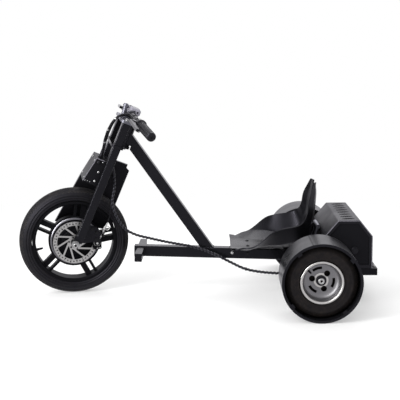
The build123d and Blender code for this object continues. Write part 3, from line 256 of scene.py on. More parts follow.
# Bright zinc of small bolts, of the axles' tips and of the caliper's small parts.
ZINC_BRIGHT = Finish("steel_zinc_bright", "#ececea", "#d6d6d4", 0.28, metallic=1.0, grain=3.0, bump=0.01)
# Oxide-blackened screws of the wheel, the seat and the box, and the caliper's lever.
DARK_BOLT = Finish("steel_black_oxide", "#3a3a3c", "#2b2b2d", 0.4, metallic=1.0, grain=0.8, bump=0.02)
# Machined edge of the motor covers, under thin clear paint.
COVER_EDGE = Finish("aluminium_machined_edge", "#8c8b90", "#77767b", 0.3, metallic=1.0, grain=1.0, bump=0.02)
# Folded edge: a pale strip that is a painted highlight of the light on the bend.
EDGE_HIGHLIGHT = Finish("powder_coat_painted_edge_highlight", "#77757c", "#625f68", 0.34, grain=2.0, bump=0.01)
# Rim of the side case, a little paler than its flat.
CASE_EDGE = Finish("powder_coat_case_edge", "#222226", "#2b2b30", 0.4, gloss=0.22, grain=1.2, bump=0.05)
# Band of the spiral wrap: the same plastic, thinner and shinier than the cables in it.
WRAP = Finish("polypropylene_wrap_band", "#1b1b1e", "#242428", 0.3, gloss=0.5, grain=2.0, bump=0.03)
# Dark steel of the rear hubs, of their back flanges and of the axles' centre holes: painted shade of hollows
# and of what is seen through the rims' holes.
SHADE_STEEL = Finish("steel_painted_shade_dark", "#1c1a19", "#2a2624", 0.5, metallic=1.0, grain=1.5, bump=0.05)
# Clear window of the display over its dark mask.
GLASS = Finish("acrylic_display_window", "#08080a", "#0b0b0e", 0.1, ior=1.49, grain=4.0, bump=0.01)

FINISH_OF: dict[str, Finish] = {
    "front_tyre": RUBBER, "front_rim": CAST, "motor_drum": CAST, "brake_rotor": STEEL, "valve_stem": GRIP,
    "fork_leg_left": POWDER, "fork_leg_right": POWDER, "dropout_left": POWDER, "dropout_right": POWDER,
    "front_axle": ZINC, "lower_yoke": POWDER, "upper_yoke": ALLOY, "steerer": ZINC, "handlebar": GLOSS,
    "grip_left": GRIP, "grip_right": GRIP, "brake_lever_left": GLOSS, "brake_lever_right": GLOSS,
    "bar_riser": ALLOY, "key_post": ALLOY, "display": GREY_ABS, "controller_housing": SHEET,
    "side_case": SHEET, "brake_caliper": CAST, "cable_bundle": PVC, "brake_cable": PVC, "head_tube": POWDER,
    "down_tube": POWDER, "main_beam": POWDER, "foot_peg_left": POWDER, "foot_peg_right": POWDER,
    "cross_beam": POWDER, "rear_axle": ZINC, "tray": SHEET, "box_shell": WRAP_SHEET, "box_end_left": SHEET,
    "box_end_right": SHEET, "battery_pack": PVC, "charge_port": GRIP, "seat_shell": SEAT,
    "seat_bracket_front": POWDER, "seat_bracket_rear": POWDER, "seat_strut": ALLOY, "harness": PVC,
    "rear_sleeve_left": SLEEVE, "rear_sleeve_right": SLEEVE, "rear_tyre_left": KART_RUBBER,
    # The rear hubs' dark steel is painted shade behind the rims' holes.
    "rear_tyre_right": KART_RUBBER, "rear_rim_left": RIM, "rear_rim_right": RIM, "rear_hub_left": SHADE_STEEL,
    "rear_hub_right": SHADE_STEEL,
}

# Square tubes with rolled corners, wide enough to catch the light.
ROUNDED = ("fork_leg_left", "fork_leg_right")

# Foot of the steering axis in the row frame, its rake, and the fork's turn as it parks, in degrees.
FOOT = (-0.427433, 0.0, 0.191966)
RAKE = 23.3
STEER_ANGLE = 13.2
FORK = (Matrix.Translation(FOOT) @ Matrix.Rotation(math.radians(RAKE), 4, "Y")
        @ Matrix.Rotation(math.radians(STEER_ANGLE), 4, "Z"))
# Turns a shape's z axis to the trike's left.
FACING_LEFT = Matrix.Rotation(math.radians(90), 4, "X")
# Frames of the wheels, with z along the axle: to the left at the front, and outwards at the rear.
WHEEL = FORK @ Matrix.Translation((-0.032, 0, 0)) @ FACING_LEFT
REAR = {"left": Matrix.Translation((0.435177, -0.346, 0.1364)) @ FACING_LEFT,
        "right": Matrix.Translation((0.435177, 0.346, 0.1364)) @ Matrix.Rotation(math.radians(-90), 4, "X")}


def vehicle(x: float, y: float, z: float) -> Vector:
    """Turns millimetres back from the straight front wheel's centre, right and up into row metres."""
    return Vector(((x - MIDDLE_X) * MM, y * MM, z * MM))


def on_fork(x: float, y: float, z: float) -> Vector:
    """Turns millimetres behind, to the right of and up the turned steering axis into row metres."""
    return FORK @ Vector((x * MM, y * MM, z * MM))


def within(place: Matrix, x: float, y: float, z: float) -> Vector:
    """Turns millimetres in a place's own frame into row metres."""
    return place @ (Vector((x, y, z)) * MM)


class Shape:
    """Collects simple bodies into one mesh, in millimetres, each under its own matrix."""

    def __init__(self) -> None:
        """Starts with an empty mesh."""
        self.bm = bmesh.new()

    def add(self, points: Sequence[Sequence[float]], faces: Iterable[Sequence[int]],
            place: Matrix) -> "Shape":
        """Adds points and faces.

        Args:
            points: Corners in millimetres.
            faces: Corner numbers of each face.
            place: Where they go, in metres.

        Returns:
            This shape.
        """
        made = [self.bm.verts.new(place @ (Vector(point) * MM)) for point in points]
        for face in faces:
            self.bm.faces.new([made[index] for index in face])
        return self

    def lathe(self, profile: Profile, place: Matrix, steps: int = 96, closed: bool = True) -> "Shape":
        """Turns a profile about the place's z axis.

        Args:
            profile: Radius and height of each point.
            place: Where it goes.
            steps: Facets round the axis.
            closed: Whether the last point joins the first.

        Returns:
            This shape.
        """
        count = len(profile)
        points = []
        for step in range(steps):
            angle = 2 * math.pi * step / steps
            points += [(r * math.cos(angle), r * math.sin(angle), z) for r, z in profile]
        faces = []
        for step in range(steps):
            here, there = step * count, (step + 1) % steps * count
            for index in range(count if closed else count - 1):
                after = (index + 1) % count
                faces.append((here + index, here + after, there + after, there + index))
        return self.add(points, faces, place)

    def post(self, profile: Profile, place: Matrix, steps: int = 32) -> "Shape":
        """Turns a profile that starts and ends on the axis, capped flat at both ends.

        Args:
            profile: Radius and height of each point, from the foot to the top.
            place: Where it goes.
            steps: Facets round the axis.

        Returns:
            This shape.
        """
        count = len(profile)
        self.lathe(profile, place, steps, closed=False)
        self.bm.verts.ensure_lookup_table()
        first = len(self.bm.verts) - steps * count
        for row in (0, count - 1):
            loop = [self.bm.verts[first + step * count + row] for step in range(steps)]
            self.bm.faces.new(loop)
        return self

    def prism(self, outline: Profile, low: float, high: float, place: Matrix) -> "Shape":
        """Raises an outline along the place's z axis.

        Args:
            outline: Corners in the place's x and y.
            low: Lower height.
            high: Upper height.
            place: Where it goes.

        Returns:
            This shape.
        """
        count = len(outline)
        points = [(x, y, z) for z in (low, high) for x, y in outline]
        faces = [tuple(range(count))[::-1], tuple(range(count, 2 * count))]
        faces += [(i, (i + 1) % count, count + (i + 1) % count, count + i) for i in range(count)]
        return self.add(points, faces, place)

    def block(self, low: Point, high: Point, place: Matrix) -> "Shape":
        """Adds a block between its lowest and its highest corner, under a place's matrix."""
        outline = [(low[0], low[1]), (high[0], low[1]), (high[0], high[1]), (low[0], high[1])]
        return self.prism(outline, low[2], high[2], place)

    def tube(self, line: Sequence[Vector], radii: Sequence[float], sides: int = 10) -> "Shape":
        """Sweeps a round section along a line of row points.

        Args:
            line: Points in metres.
            radii: Radius in millimetres at each point.
            sides: Facets round the line.

        Returns:
            This shape.
        """
        rings = []
        for radius, point, (side, up) in zip(radii, line, rails(line)):
            ring = []
            for step in range(sides):
                angle = 2 * math.pi * (step / sides)
                x, y = math.cos(angle) * radius * MM, math.sin(angle) * radius * MM
                ring.append(self.bm.verts.new(point + side * x + up * y))
            rings.append(ring)
        for before, after in zip(rings, rings[1:]):
            for step in range(sides):
                here, there = step, (step + 1) % sides
                self.bm.faces.new((before[here], before[there], after[there], after[here]))
        self.bm.faces.new(rings[0][::-1])
        self.bm.faces.new(rings[-1])
        return self

    def finish(self, name: str, finish: Finish, body: str, slot: str, replaces: Sequence[str] = (),
               sharp: float = 34.0, bevel: float = 0.0, blend: Optional[dict] = None) -> bpy.types.Object:
        """Turns the mesh into a piece of the trike.

        Args:
            name: The piece's name.
            finish: Its material.
            body: The body that it rides on.
            slot: The record's material slot. Not used.
            replaces: CAD nodes that it stands for.
            sharp: Angle over which an edge stays sharp, in degrees.
            bevel: Width of the edge bevel in millimetres, if any.
            blend: Bodies and points of a bend across a joint; only whether it is given is read, and then the
                piece is fixed where it is and rides on no body.

        Returns:
            The new object.
        """
        bmesh.ops.recalc_face_normals(self.bm, faces=self.bm.faces)
        for edge in self.bm.edges:
            if len(edge.link_faces) == 2:
                edge.smooth = edge.calc_face_angle(0.0) < math.radians(sharp)
        for face in self.bm.faces:
            face.smooth = True
        mesh = bpy.data.meshes.new(name)
        self.bm.to_mesh(mesh)
        self.bm.free()
        piece = bpy.data.objects.new(name, mesh)
        bpy.context.scene.collection.objects.link(piece)
        mesh.materials.append(finish.material())
        if bevel:
            soft = piece.modifiers.new("soft_edges", "BEVEL")
            soft.width = bevel * MM
            soft.segments = 2
            soft.limit_method = "ANGLE"
            soft.angle_limit = math.radians(sharp)
        if replaces:
            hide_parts(*replaces)
        if blend:
            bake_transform(piece)
        else:
            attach(piece, body)
        return piece


def rails(line: Sequence[Vector]) -> list[tuple[Vector, Vector]]:
    """Finds two crosswise directions at each point of a line, without twist.

    Args:
        line: Points in metres.

    Returns:
        A side and an up direction for each point.
    """
    frames = []
    side = None
    for index in range(len(line)):
        before = line[max(0, index - 1)]
        after = line[min(len(line) - 1, index + 1)]
        along = (after - before).normalized()
        if side is None:
            side = along.orthogonal().normalized()
        side = (side - along * side.dot(along)).normalized()
        frames.append((side, along.cross(side)))
    return frames


def spline_points(name: str, points: Sequence[Vector], resolution: int = 12) -> list[Vector]:
    """Reads the points of a NURBS spline with these control points.

    Args:
        name: Name of the passing curve.
        points: Control points in metres.
        resolution: Steps a span.

    Returns:
        Points along the spline.
    """
    data = bpy.data.curves.new(name, "CURVE")
    data.dimensions = "3D"
    data.resolution_u = resolution
    spline = data.splines.new("NURBS")
    spline.points.add(len(points) - 1)
    for made, point in zip(spline.points, points):
        made.co = (*point, 1.0)
    spline.order_u = 3
    spline.use_endpoint_u = True
    holder = bpy.data.objects.new(name, data)
    bpy.context.scene.collection.objects.link(holder)
    depsgraph = bpy.context.evaluated_depsgraph_get()
    mesh = bpy.data.meshes.new_from_object(holder.evaluated_get(depsgraph))
    line = [vertex.co.copy() for vertex in mesh.vertices]
    bpy.data.objects.remove(holder)
    bpy.data.curves.remove(data)
    bpy.data.meshes.remove(mesh)
    return line


def run_length(line: Sequence[Vector]) -> float:
    """Adds up the distances between a line's points, in metres."""
    return sum((b - a).length for a, b in zip(line, line[1:]))


def on_line(line: Sequence[Vector], index: int) -> Matrix:
    """Finds a frame at an inner point of a line, with z along the line."""
    run = (line[index + 1] - line[index - 1]).normalized()
    return Matrix.Translation(line[index]) @ run.to_track_quat("Z", "Y").to_matrix().to_4x4()


def even(line: Sequence[Vector], step: float) -> list[Vector]:
    """Walks along a line in even steps.

    Args:
        line: Points in metres.
        step: Distance between two points, in millimetres.

    Returns:
        Evenly spaced points, with both ends kept.
    """
    lengths = [(b - a).length for a, b in zip(line, line[1:])]
    total = sum(lengths)
    count = max(2, round(total / (step * MM)))
    walked = []
    index, passed = 0, 0.0
    for number in range(count):
        goal = total * number / count
        while index < len(lengths) - 1 and passed + lengths[index] < goal:
            passed += lengths[index]
            index += 1
        share = (goal - passed) / lengths[index]
        walked.append(line[index].lerp(line[index + 1], share))
    walked.append(line[-1].copy())
    return walked


def scatter_tree() -> bpy.types.NodeTree:
    """Builds the Geometry Nodes tree that sets one piece on many marked points.

    Returns:
        The node tree, with its inputs named.
    """
    made = bpy.data.node_groups.get("set_on_points")
    if made is not None:
        return made
    tree = bpy.data.node_groups.new("set_on_points", "GeometryNodeTree")
    face = tree.interface
    face.new_socket("Geometry", in_out="INPUT", socket_type="NodeSocketGeometry")
    face.new_socket("Piece", in_out="INPUT", socket_type="NodeSocketObject")
    face.new_socket("Material", in_out="INPUT", socket_type="NodeSocketMaterial")
    jitter = face.new_socket("Size Jitter", in_out="INPUT", socket_type="NodeSocketFloat")
    jitter.default_value = 0.0
    seed = face.new_socket("Seed", in_out="INPUT", socket_type="NodeSocketInt")
    seed.default_value = 7
    face.new_socket("Geometry", in_out="OUTPUT", socket_type="NodeSocketGeometry")
    start = add_node(tree, "NodeGroupInput")
    end = add_node(tree, "NodeGroupOutput")
    aim = add_node(tree, "GeometryNodeInputNamedAttribute", {"data_type": "FLOAT_VECTOR", "Name": "aim"})
    along = add_node(tree, "GeometryNodeInputNamedAttribute", {"data_type": "FLOAT_VECTOR", "Name": "along"})
    first = add_node(tree, "FunctionNodeAlignRotationToVector", {"axis": "Z"}, {"Vector": aim.outputs[0]})
    turned = add_node(tree, "FunctionNodeAlignRotationToVector", {"axis": "X", "pivot_axis": "Z"},
                      {"Rotation": first.outputs[0], "Vector": along.outputs[0]})
    piece = add_node(tree, "GeometryNodeObjectInfo", {}, {"Object": start.outputs["Piece"]})
    low = add_node(tree, "ShaderNodeMath", {"operation": "SUBTRACT", 0: 1.0},
                   {1: start.outputs["Size Jitter"]})
    size = add_node(tree, "FunctionNodeRandomValue", {"data_type": "FLOAT", 3: 1.0},
                    {2: low.outputs[0], "Seed": start.outputs["Seed"]})
    placed = add_node(tree, "GeometryNodeInstanceOnPoints", {},
                      {"Points": start.outputs["Geometry"], "Instance": piece.outputs["Geometry"],
                       "Rotation": turned.outputs[0], "Scale": size.outputs[1]})
    real = add_node(tree, "GeometryNodeRealizeInstances", {}, {"Geometry": placed.outputs[0]})
    painted = add_node(tree, "GeometryNodeSetMaterial", {},
                       {"Geometry": real.outputs[0], "Material": start.outputs["Material"]})
    tree.links.new(painted.outputs[0], end.inputs[0])
    return tree


def scatter(name: str, piece: Shape, marks: Sequence[Mark], finish: Finish, body: str,
            jitter: float = 0.0) -> bpy.types.Object:
    """Sets one small shape on many marked points, as one mesh.

    Args:
        name: The new piece's name.
        piece: The shape, about its own origin.
        marks: Position, outward direction and lengthwise direction of each, in the row frame.
        finish: Its material.
        body: The body that it rides on.
        jitter: How much smaller some of them are, as a share.

    Returns:
        The new object.
    """
    bmesh.ops.recalc_face_normals(piece.bm, faces=piece.bm.faces)
    source = bpy.data.meshes.new(f"{name}_source")
    piece.bm.to_mesh(source)
    piece.bm.free()
    holder = bpy.data.objects.new(f"{name}_source", source)
    bpy.context.scene.collection.objects.link(holder)
    spots = bpy.data.meshes.new(f"{name}_spots")
    spots.from_pydata([mark[0] for mark in marks], [], [])
    for label, column in (("aim", 1), ("along", 2)):
        layer = spots.attributes.new(label, "FLOAT_VECTOR", "POINT")
        for index, mark in enumerate(marks):
            layer.data[index].vector = mark[column]
    carrier = bpy.data.objects.new(f"{name}_spots", spots)
    bpy.context.scene.collection.objects.link(carrier)
    tree = scatter_tree()
    modifier = carrier.modifiers.new("set_on_points", "NODES")
    modifier.node_group = tree
    values = {"Piece": holder, "Material": finish.material(), "Size Jitter": jitter, "Seed": 7}
    for item in tree.interface.items_tree:
        if item.item_type == "SOCKET" and item.in_out == "INPUT" and item.name in values:
            modifier[item.identifier] = values[item.name]
    depsgraph = bpy.context.evaluated_depsgraph_get()
    mesh = bpy.data.meshes.new_from_object(carrier.evaluated_get(depsgraph))
    mesh.name = name
    bpy.data.objects.remove(carrier)
    bpy.data.objects.remove(holder)
    made = bpy.data.objects.new(name, mesh)
    bpy.context.scene.collection.objects.link(made)
    if not mesh.materials:
        mesh.materials.append(finish.material())
    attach(made, body)
    return made


def hex_bolt(across: float, height: float, washer: float) -> Shape:
    """Makes a hexagon head with a chamfered top, on a washer.

    Args:
        across: Width across the flats.
        height: Height of the head.
        washer: Radius of the washer.

    Returns:
        The shape about its own origin, head up.
    """
    base = 1.6
    shape = Shape()
    shape.post([(washer, -0.3), (washer, 1.2), (washer - 0.4, base)], Matrix(), 24)
    corner = across / math.sqrt(3)
    outline = [(corner * math.cos(math.radians(60 * k)), corner * math.sin(math.radians(60 * k)))
               for k in range(6)]
    shape.prism(outline, base - 0.2, base + height * 0.82, Matrix())
    shape.post([(across * 0.5, base + height * 0.82 - 0.01), (across * 0.42, base + height),
                (across * 0.1, base + height)], Matrix(), 18)
    return shape


def socket_bolt(radius: float, height: float) -> Shape:
    """Makes a button head with a hexagon socket.

    Args:
        radius: Radius of the head.
        height: Height of the head.

    Returns:
        The shape about its own origin, head up.
    """
    shape = Shape()
    shape.lathe([(radius, -0.3), (radius, height * 0.35), (radius * 0.86, height * 0.75),
                 (radius * 0.62, height), (radius * 0.46, height), (radius * 0.42, height * 0.35),
                 (0.02, height * 0.33), (0.02, -0.3)], Matrix(), 20)
    return shape


def circle(radius: float, count: int) -> list[tuple[float, float]]:
    """Spreads points evenly on a circle about the origin."""
    return [(radius * math.cos(2 * math.pi * k / count), radius * math.sin(2 * math.pi * k / count))
            for k in range(count)]


def rounded(half_x: float, half_y: float, radius: float, steps: int = 5) -> list[tuple[float, float]]:
    """Draws a rectangle with round corners.

    Args:
        half_x: Half its length.
        half_y: Half its width.
        radius: Radius of its corners.
        steps: Steps in each corner.

    Returns:
        Its outline, turning left.
    """
    outline = []
    for corner, (x, y) in enumerate(((1, 1), (-1, 1), (-1, -1), (1, -1))):
        for step in range(steps + 1):
            angle = math.radians(90 * corner + 90 * step / steps)
            outline.append((x * (half_x - radius) + radius * math.cos(angle),
                            y * (half_y - radius) + radius * math.sin(angle)))
    return outline


def loose_object(name: str, source: bmesh.types.BMesh) -> bpy.types.Object:
    """Links a passing object for a cut, and frees its source.

    Args:
        name: Its name.
        source: Its mesh, which is freed.

    Returns:
        The linked object.
    """
    mesh = bpy.data.meshes.new(name)
    source.to_mesh(mesh)
    source.free()
    made = bpy.data.objects.new(name, mesh)
    bpy.context.scene.collection.objects.link(made)
    return made


def circle_marks(place: Matrix, radius: float, height: float, count: int, phase: float = 0.0,
                 flip: bool = False) -> list[Mark]:
    """Marks points evenly on a circle about the place's z axis.

    Args:
        place: The circle's frame.
        radius: Its radius, in millimetres.
        height: Its height on the axis, in millimetres.
        count: How many points.
        phase: Angle of the first, in degrees.
        flip: Whether they face down the axis.

    Returns:
        Position, outward direction and lengthwise direction of each.
    """
    turn = place.to_3x3()
    aim = turn @ Vector((0, 0, -1 if flip else 1))
    marks = []
    for index in range(count):
        angle = math.radians(phase + index * 360 / count)
        spot = within(place, radius * math.cos(angle), radius * math.sin(angle), height)
        marks.append((spot, aim, turn @ Vector((math.cos(angle), math.sin(angle), 0))))
    return marks


def carve(source: bmesh.types.BMesh, cutter: Shape) -> Shape:
    """Cuts one closed shape out of another.

    Args:
        source: What is cut. It is used up.
        cutter: What is cut away. It stays for another cut.

    Returns:
        The shape that is left.
    """
    bmesh.ops.recalc_face_normals(cutter.bm, faces=cutter.bm.faces)
    bmesh.ops.recalc_face_normals(source, faces=source.faces)
    tool = loose_object("cutter", cutter.bm.copy())
    copy = loose_object("cut_copy", source)
    cut = copy.modifiers.new("holes", "BOOLEAN")
    cut.object = tool
    cut.operation = "DIFFERENCE"
    cut.solver = "EXACT"
    made = bpy.data.meshes.new_from_object(copy.evaluated_get(bpy.context.evaluated_depsgraph_get()))
    bpy.data.objects.remove(copy)
    bpy.data.objects.remove(tool)
    shape = Shape()
    shape.bm.from_mesh(made)
    bpy.data.meshes.remove(made)
    return shape


# Height of the rings moulded on the front tyre's sidewalls, in millimetres, by section step from its crown.
SIDEWALL_RINGS = {24: 1.2, 25: 1.5, 26: 1.2, 28: -1.2, 31: 1.4, 32: 1.4, 34: -1.0, 36: 1.3, 37: 1.3}


@dataclass(frozen=True)
class FrontWheel:
    """Hub-motor wheel: tyre with its tread, cast rim, drum and perforated rotor.

    Attributes:
        ring: Radius of the tyre section's centre.
        carcass: Radius of the tyre section under its tread.
        lining: Radius of the tyre section's inside.
        section_step: Degrees from one point of the tyre section to the next.
        rows: Rows of tread blocks on each side of the middle one.
        row_turn: Degrees from one row to the next round the tyre section.
        blocks: Tread blocks in a row.
        block_half: Half the length and half the width of a tread block.
        rotor_face: Height of the rotor's outer face on the axle.
        rotor_thickness: Thickness of the rotor.
        hole_reaches: Distances of the rotor's small holes from the axle, in the order that they repeat.
        bolt_circle: Radius of the circle of the rotor's bolts.
        bolt_phase: Angle of the first of these bolts, in degrees.
        cover_circle: Radius of the circle of the drum covers' screws.
        cover_face: Height of a cover's outer face on the axle.
    """
    ring: float = 174.0
    carcass: float = 30.0
    lining: float = 26.0
    section_step: float = 3.0
    rows: int = 6
    row_turn: float = 8.6
    blocks: int = 104
    block_half: tuple[float, float] = (5.0, 2.9)
    rotor_face: float = 35.0
    rotor_thickness: float = 3.0
    hole_reaches: tuple[float, ...] = (73.6, 76.8, 73.6, 70.4)
    bolt_circle: float = 22.6
    bolt_phase: float = 12.0
    cover_circle: float = 79.0
    cover_face: float = 16.0

    def build(self) -> None:
        """Replaces the tyre and the rotor and adds what is fastened to the wheel."""
        self.tyre()
        self.tread()
        self.rotor()
        self.hub()

    def tyre(self) -> None:
        """Carcass of the tyre, with moulded rings on its sidewalls."""
        outer, inner = [], []
        for step in range(-40, 41):
            angle = math.radians(step * self.section_step)
            rise = self.carcass + SIDEWALL_RINGS.get(abs(step), 0.0)
            outer.append((self.ring + rise * math.cos(angle), rise * math.sin(angle)))
            inner.append((self.ring + self.lining * math.cos(angle), self.lining * math.sin(angle)))
        Shape().lathe(outer + inner[::-1], WHEEL, steps=160).finish(
            "front_tyre_carcass", RUBBER, "front_wheel", "tyre", replaces=["front_tyre"], sharp=60)

    def tread(self) -> None:
        """Small diamond blocks in staggered rows over the crown."""
        turn = WHEEL.to_3x3()
        marks = []
        for row in range(-self.rows, self.rows + 1):
            section = math.radians(row * self.row_turn)
            for index in range(self.blocks):
                angle = 2 * math.pi * (index + 0.5 * (row % 2)) / self.blocks
                out = Vector((math.cos(angle), math.sin(angle), 0))
                aim = out * math.cos(section) + Vector((0, 0, math.sin(section)))
                spot = WHEEL @ ((out * self.ring + aim * (self.carcass - 0.2)) * MM)
                marks.append((spot, turn @ aim, turn @ Vector((-math.sin(angle), math.cos(angle), 0))))
        long, wide = self.block_half
        block = Shape().prism([(-long, 0), (0, -wide), (long, 0), (0, wide)], -0.6, 1.15, Matrix())
        scatter("front_tyre_tread", block, marks, TREAD, "front_wheel")

    def rotor(self) -> None:
        """Copies the brake disc and cuts its ventilation holes and its bolt holes."""
        holes = []
        for index in range(40):
            radius, sides = (2.7, 12) if index % 2 == 0 else (2.0, 10)
            holes.append((self.hole_reaches[index % 4], 9.0 * index, radius, sides))
        for index in range(6):
            holes.append((self.bolt_circle, self.bolt_phase + 60 * index, 2.6, 12))
        cutter = Shape()
        middle = self.rotor_face - self.rotor_thickness / 2
        for reach, degrees, radius, sides in holes:
            angle = math.radians(degrees)
            spot = (reach * math.cos(angle) * MM, reach * math.sin(angle) * MM, middle * MM)
            cutter.prism(circle(radius, sides), -4, 4, WHEEL @ Matrix.Translation(spot))
        source = bmesh.new()
        source.from_mesh(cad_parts["brake_rotor"].data)
        bmesh.ops.remove_doubles(source, verts=source.verts, dist=WELD)
        carve(source, cutter).finish("brake_rotor_perforated", STEEL, "front_wheel", "rotor",
                                     replaces=["brake_rotor"], sharp=25)

    def hub(self) -> None:
        """Rotor bolts, cover screws, the drum covers' bright edges and the rim's lips."""
        marks = circle_marks(WHEEL, self.bolt_circle, self.rotor_face, 6, self.bolt_phase)
        scatter("rotor_bolts", socket_bolt(3.6, 2.6), marks, DARK_BOLT, "front_wheel")
        marks = circle_marks(WHEEL, self.cover_circle, self.cover_face, 9, 10)
        marks += circle_marks(WHEEL, self.cover_circle, -self.cover_face, 9, 10, flip=True)
        scatter("drum_cover_screws", socket_bolt(3.2, 2.2), marks, DARK_BOLT, "front_wheel")
        covers = Shape()
        for side in (1, -1):
            covers.lathe([(84.0, side * 15.4), (90.6, side * 11.0), (90.8, side * 13.6), (86.6, side * 17.2),
                          (84.4, side * 17.2)], WHEEL, steps=128)
        covers.finish("drum_cover_rims", COVER_EDGE, "front_wheel", "motor", sharp=50)
        lips = Shape()
        for side in (1, -1):
            lips.lathe([(146.6, side * 26.6), (149.0, side * 28.9), (151.4, side * 29.2),
                        (152.6, side * 28.5), (156.6, side * 28.9), (157.6, side * 27.6),
                        (150.6, side * 25.6)], WHEEL, steps=160)
        lips.finish("front_rim_lips", CAST, "front_wheel", "cast_rim", sharp=50)


@dataclass(frozen=True)
class Fork:
    """Hardware of the fork: axle tips, yoke bolts, caliper and controller housing.

    Attributes:
        housing_half: Half the housing's width.
        screw_side: Where the screws' heads lie on the fork's left side.
        axle_half: Half length of the front axle.
        caliper_angle: Turn of the caliper round the axle, in degrees.
        caliper_reach: Distance of the caliper from the axle.
    """
    housing_half: float = 57.7
    screw_side: float = 57.6
    axle_half: float = 74.3
    caliper_angle: float = 22.0
    caliper_reach: float = 82.0

    def build(self) -> None:
        """Adds the fork's hardware."""
        self.axle_tips()
        self.yoke_bolts()
        self.caliper()
        self.housing()

    def axle_tips(self) -> None:
        """Dished bright ends of the axle, with a dark disc in each centre that is painted shade of its centre
        hole.
        """
        tips, centres = Shape(), Shape()
        for side in (1, -1):
            place = WHEEL @ Matrix.Translation((0, 0, side * self.axle_half * MM))
            if side < 0:
                place = place @ Matrix.Rotation(math.pi, 4, "X")
            tips.post([(6.9, -1.0), (6.9, 0.4), (5.9, 1.2), (4.0, 1.2), (3.2, 0.3), (0.4, 0.2)], place, 40)
            # Dark discs in the dishes: painted shade of the centre holes.
            centres.post([(4.6, 0.2), (4.6, 1.5), (3.6, 1.7)], place, 28)
        tips.finish("front_axle_tips", ZINC_BRIGHT, "steering", "axle", sharp=40)
        centres.finish("front_axle_centres", SHADE_STEEL, "steering", "axle", sharp=40)

    def yoke_bolts(self) -> None:
        """Leg bolts on the upper yoke, pinch bolts and the bar clamp's bolts."""
        turn = FORK.to_3x3()
        up, back = turn @ Vector((0, 0, 1)), turn @ Vector((1, 0, 0))
        scatter("yoke_top_bolts", hex_bolt(15, 7, 11),
                [(on_fork(-27, s * 73, 503.0), up, back) for s in (-1, 1)], ZINC, "steering")
        marks = [(on_fork(-4.2, s * 62, height), back, up) for s in (-1, 1) for height in (402.5, 498.5)]
        scatter("yoke_pinch_bolts", socket_bolt(3.8, 3.6), marks, ZINC, "steering")
        marks = [(on_fork(-14 + d, s * 27, 539.2), up, back) for s in (-1, 1) for d in (-6.5, 6.5)]
        scatter("riser_clamp_bolts", socket_bolt(3.2, 3.0), marks, ZINC, "steering")

    def caliper(self) -> None:
        """Cable guide, lever, adjuster, spring and bolts of the cable caliper."""
        place = (WHEEL @ Matrix.Rotation(math.radians(self.caliper_angle), 4, "Z")
                 @ Matrix.Translation((self.caliper_reach * MM, 0, 0)))
        arm = Shape()
        spine = [(20.5, 42.0), (24.0, 42.5), (31.0, 57.0), (39.5, 73.0), (41.0, 77.5), (38.5, 79.0),
                 (35.5, 76.5), (27.0, 60.0), (20.0, 46.0)]
        arm.prism(spine, 49.3, 52.4, place)
        ring = []
        for index in range(25):
            angle = math.radians(-150 + 300 * index / 24)
            ring.append(within(place, 38.0 + 7.6 * math.cos(angle), 57.0 + 7.6 * math.sin(angle), 51.0))
        arm.tube(ring, [1.5] * len(ring), 8)
        arm.finish("caliper_cable_guide", ZINC_BRIGHT, "steering", "controls", sharp=35, bevel=0.4)
        lever = Shape()
        lever.prism([(-7, -6), (3, -10), (11, -4), (14, 12), (18, 30), (21.5, 43), (17, 44), (12, 28),
                     (6, 24), (3, 12), (-6, 6)], 49.3, 51.2, place)
        lever.post([(8.8, 49.0), (8.8, 53.0), (6.8, 54.0)], place, 28)
        lever.finish("caliper_lever", DARK_BOLT, "steering", "controls", sharp=35, bevel=0.4)
        Shape().post([(4.4, 52.8), (4.4, 56.4), (3.2, 57.0)], place, 6).finish(
            "caliper_pivot", ZINC_BRIGHT, "steering", "controls", sharp=35)
        foot = place @ Vector((0.0223, 0.042, 0.043))
        lean = Matrix.Translation(foot) @ (
            place.to_3x3() @ Matrix.Rotation(math.radians(-26.6), 3, "Z")
            @ Matrix.Rotation(math.radians(-90), 3, "X")).to_4x4()
        stop = Shape()
        for height in (-6.0, 1.0, 9.0, 15.0):
            stop.lathe([(3.4, height), (5.7, height), (5.7, height + 3.2), (3.4, height + 3.2)], lean, 6)
        stop.tube([lean @ Vector((0, 0, z * MM)) for z in (15.0, 19.0, 22.0, 25.0)], [4.3, 4.1, 3.6, 3.0], 20)
        stop.finish("caliper_adjuster", ZINC_BRIGHT, "steering", "controls", sharp=35)
        wire = Shape().tube([lean @ Vector((0, 0, -0.004)), place @ Vector((0.0160, 0.0340, 0.0490)),
                             place @ Vector((0.0140, 0.0285, 0.0535)),
                             place @ Vector((0.0110, 0.0180, 0.0535))],
                            [0.9] * 4, 8)
        wire.post([(3.6, 51.6), (3.6, 55.2), (2.8, 56.0)], place @ Matrix.Translation((0.0135, 0.0265, 0)), 6)
        wire.finish("caliper_cable_end", ZINC_BRIGHT, "steering", "controls", sharp=35)
        spring = []
        for index in range(100):
            angle = 2 * math.pi * index / 25
            spring.append(within(place, 11.9 * math.cos(angle), 11.9 * math.sin(angle), 44.6 + 0.045 * index))
        Shape().tube(spring, [0.75] * len(spring), 6).finish(
            "caliper_spring", ZINC_BRIGHT, "steering", "controls", sharp=60)
        turn = place.to_3x3()
        marks = [(within(place, x, y, 44.0), turn @ Vector((0, 0, 1)), turn @ Vector((1, 0, 0)))
                 for x, y in ((-11, -21), (-11, 21), (11, -21), (1, -22))]
        scatter("caliper_bolts", socket_bolt(3.6, 4.0), marks, ZINC_BRIGHT, "steering")
        out, back = FORK.to_3x3() @ Vector((0, -1, 0)), FORK.to_3x3() @ Vector((1, 0, 0))
        marks = [(on_fork(x - 32, -self.screw_side, z), out, back)
                 for x, z in ((57.6, 70.5), (66.0, 45.5), (38.0, 78.0))]
        scatter("caliper_plate_bolts", hex_bolt(9, 4, 7), marks, DARK_BOLT, "steering")

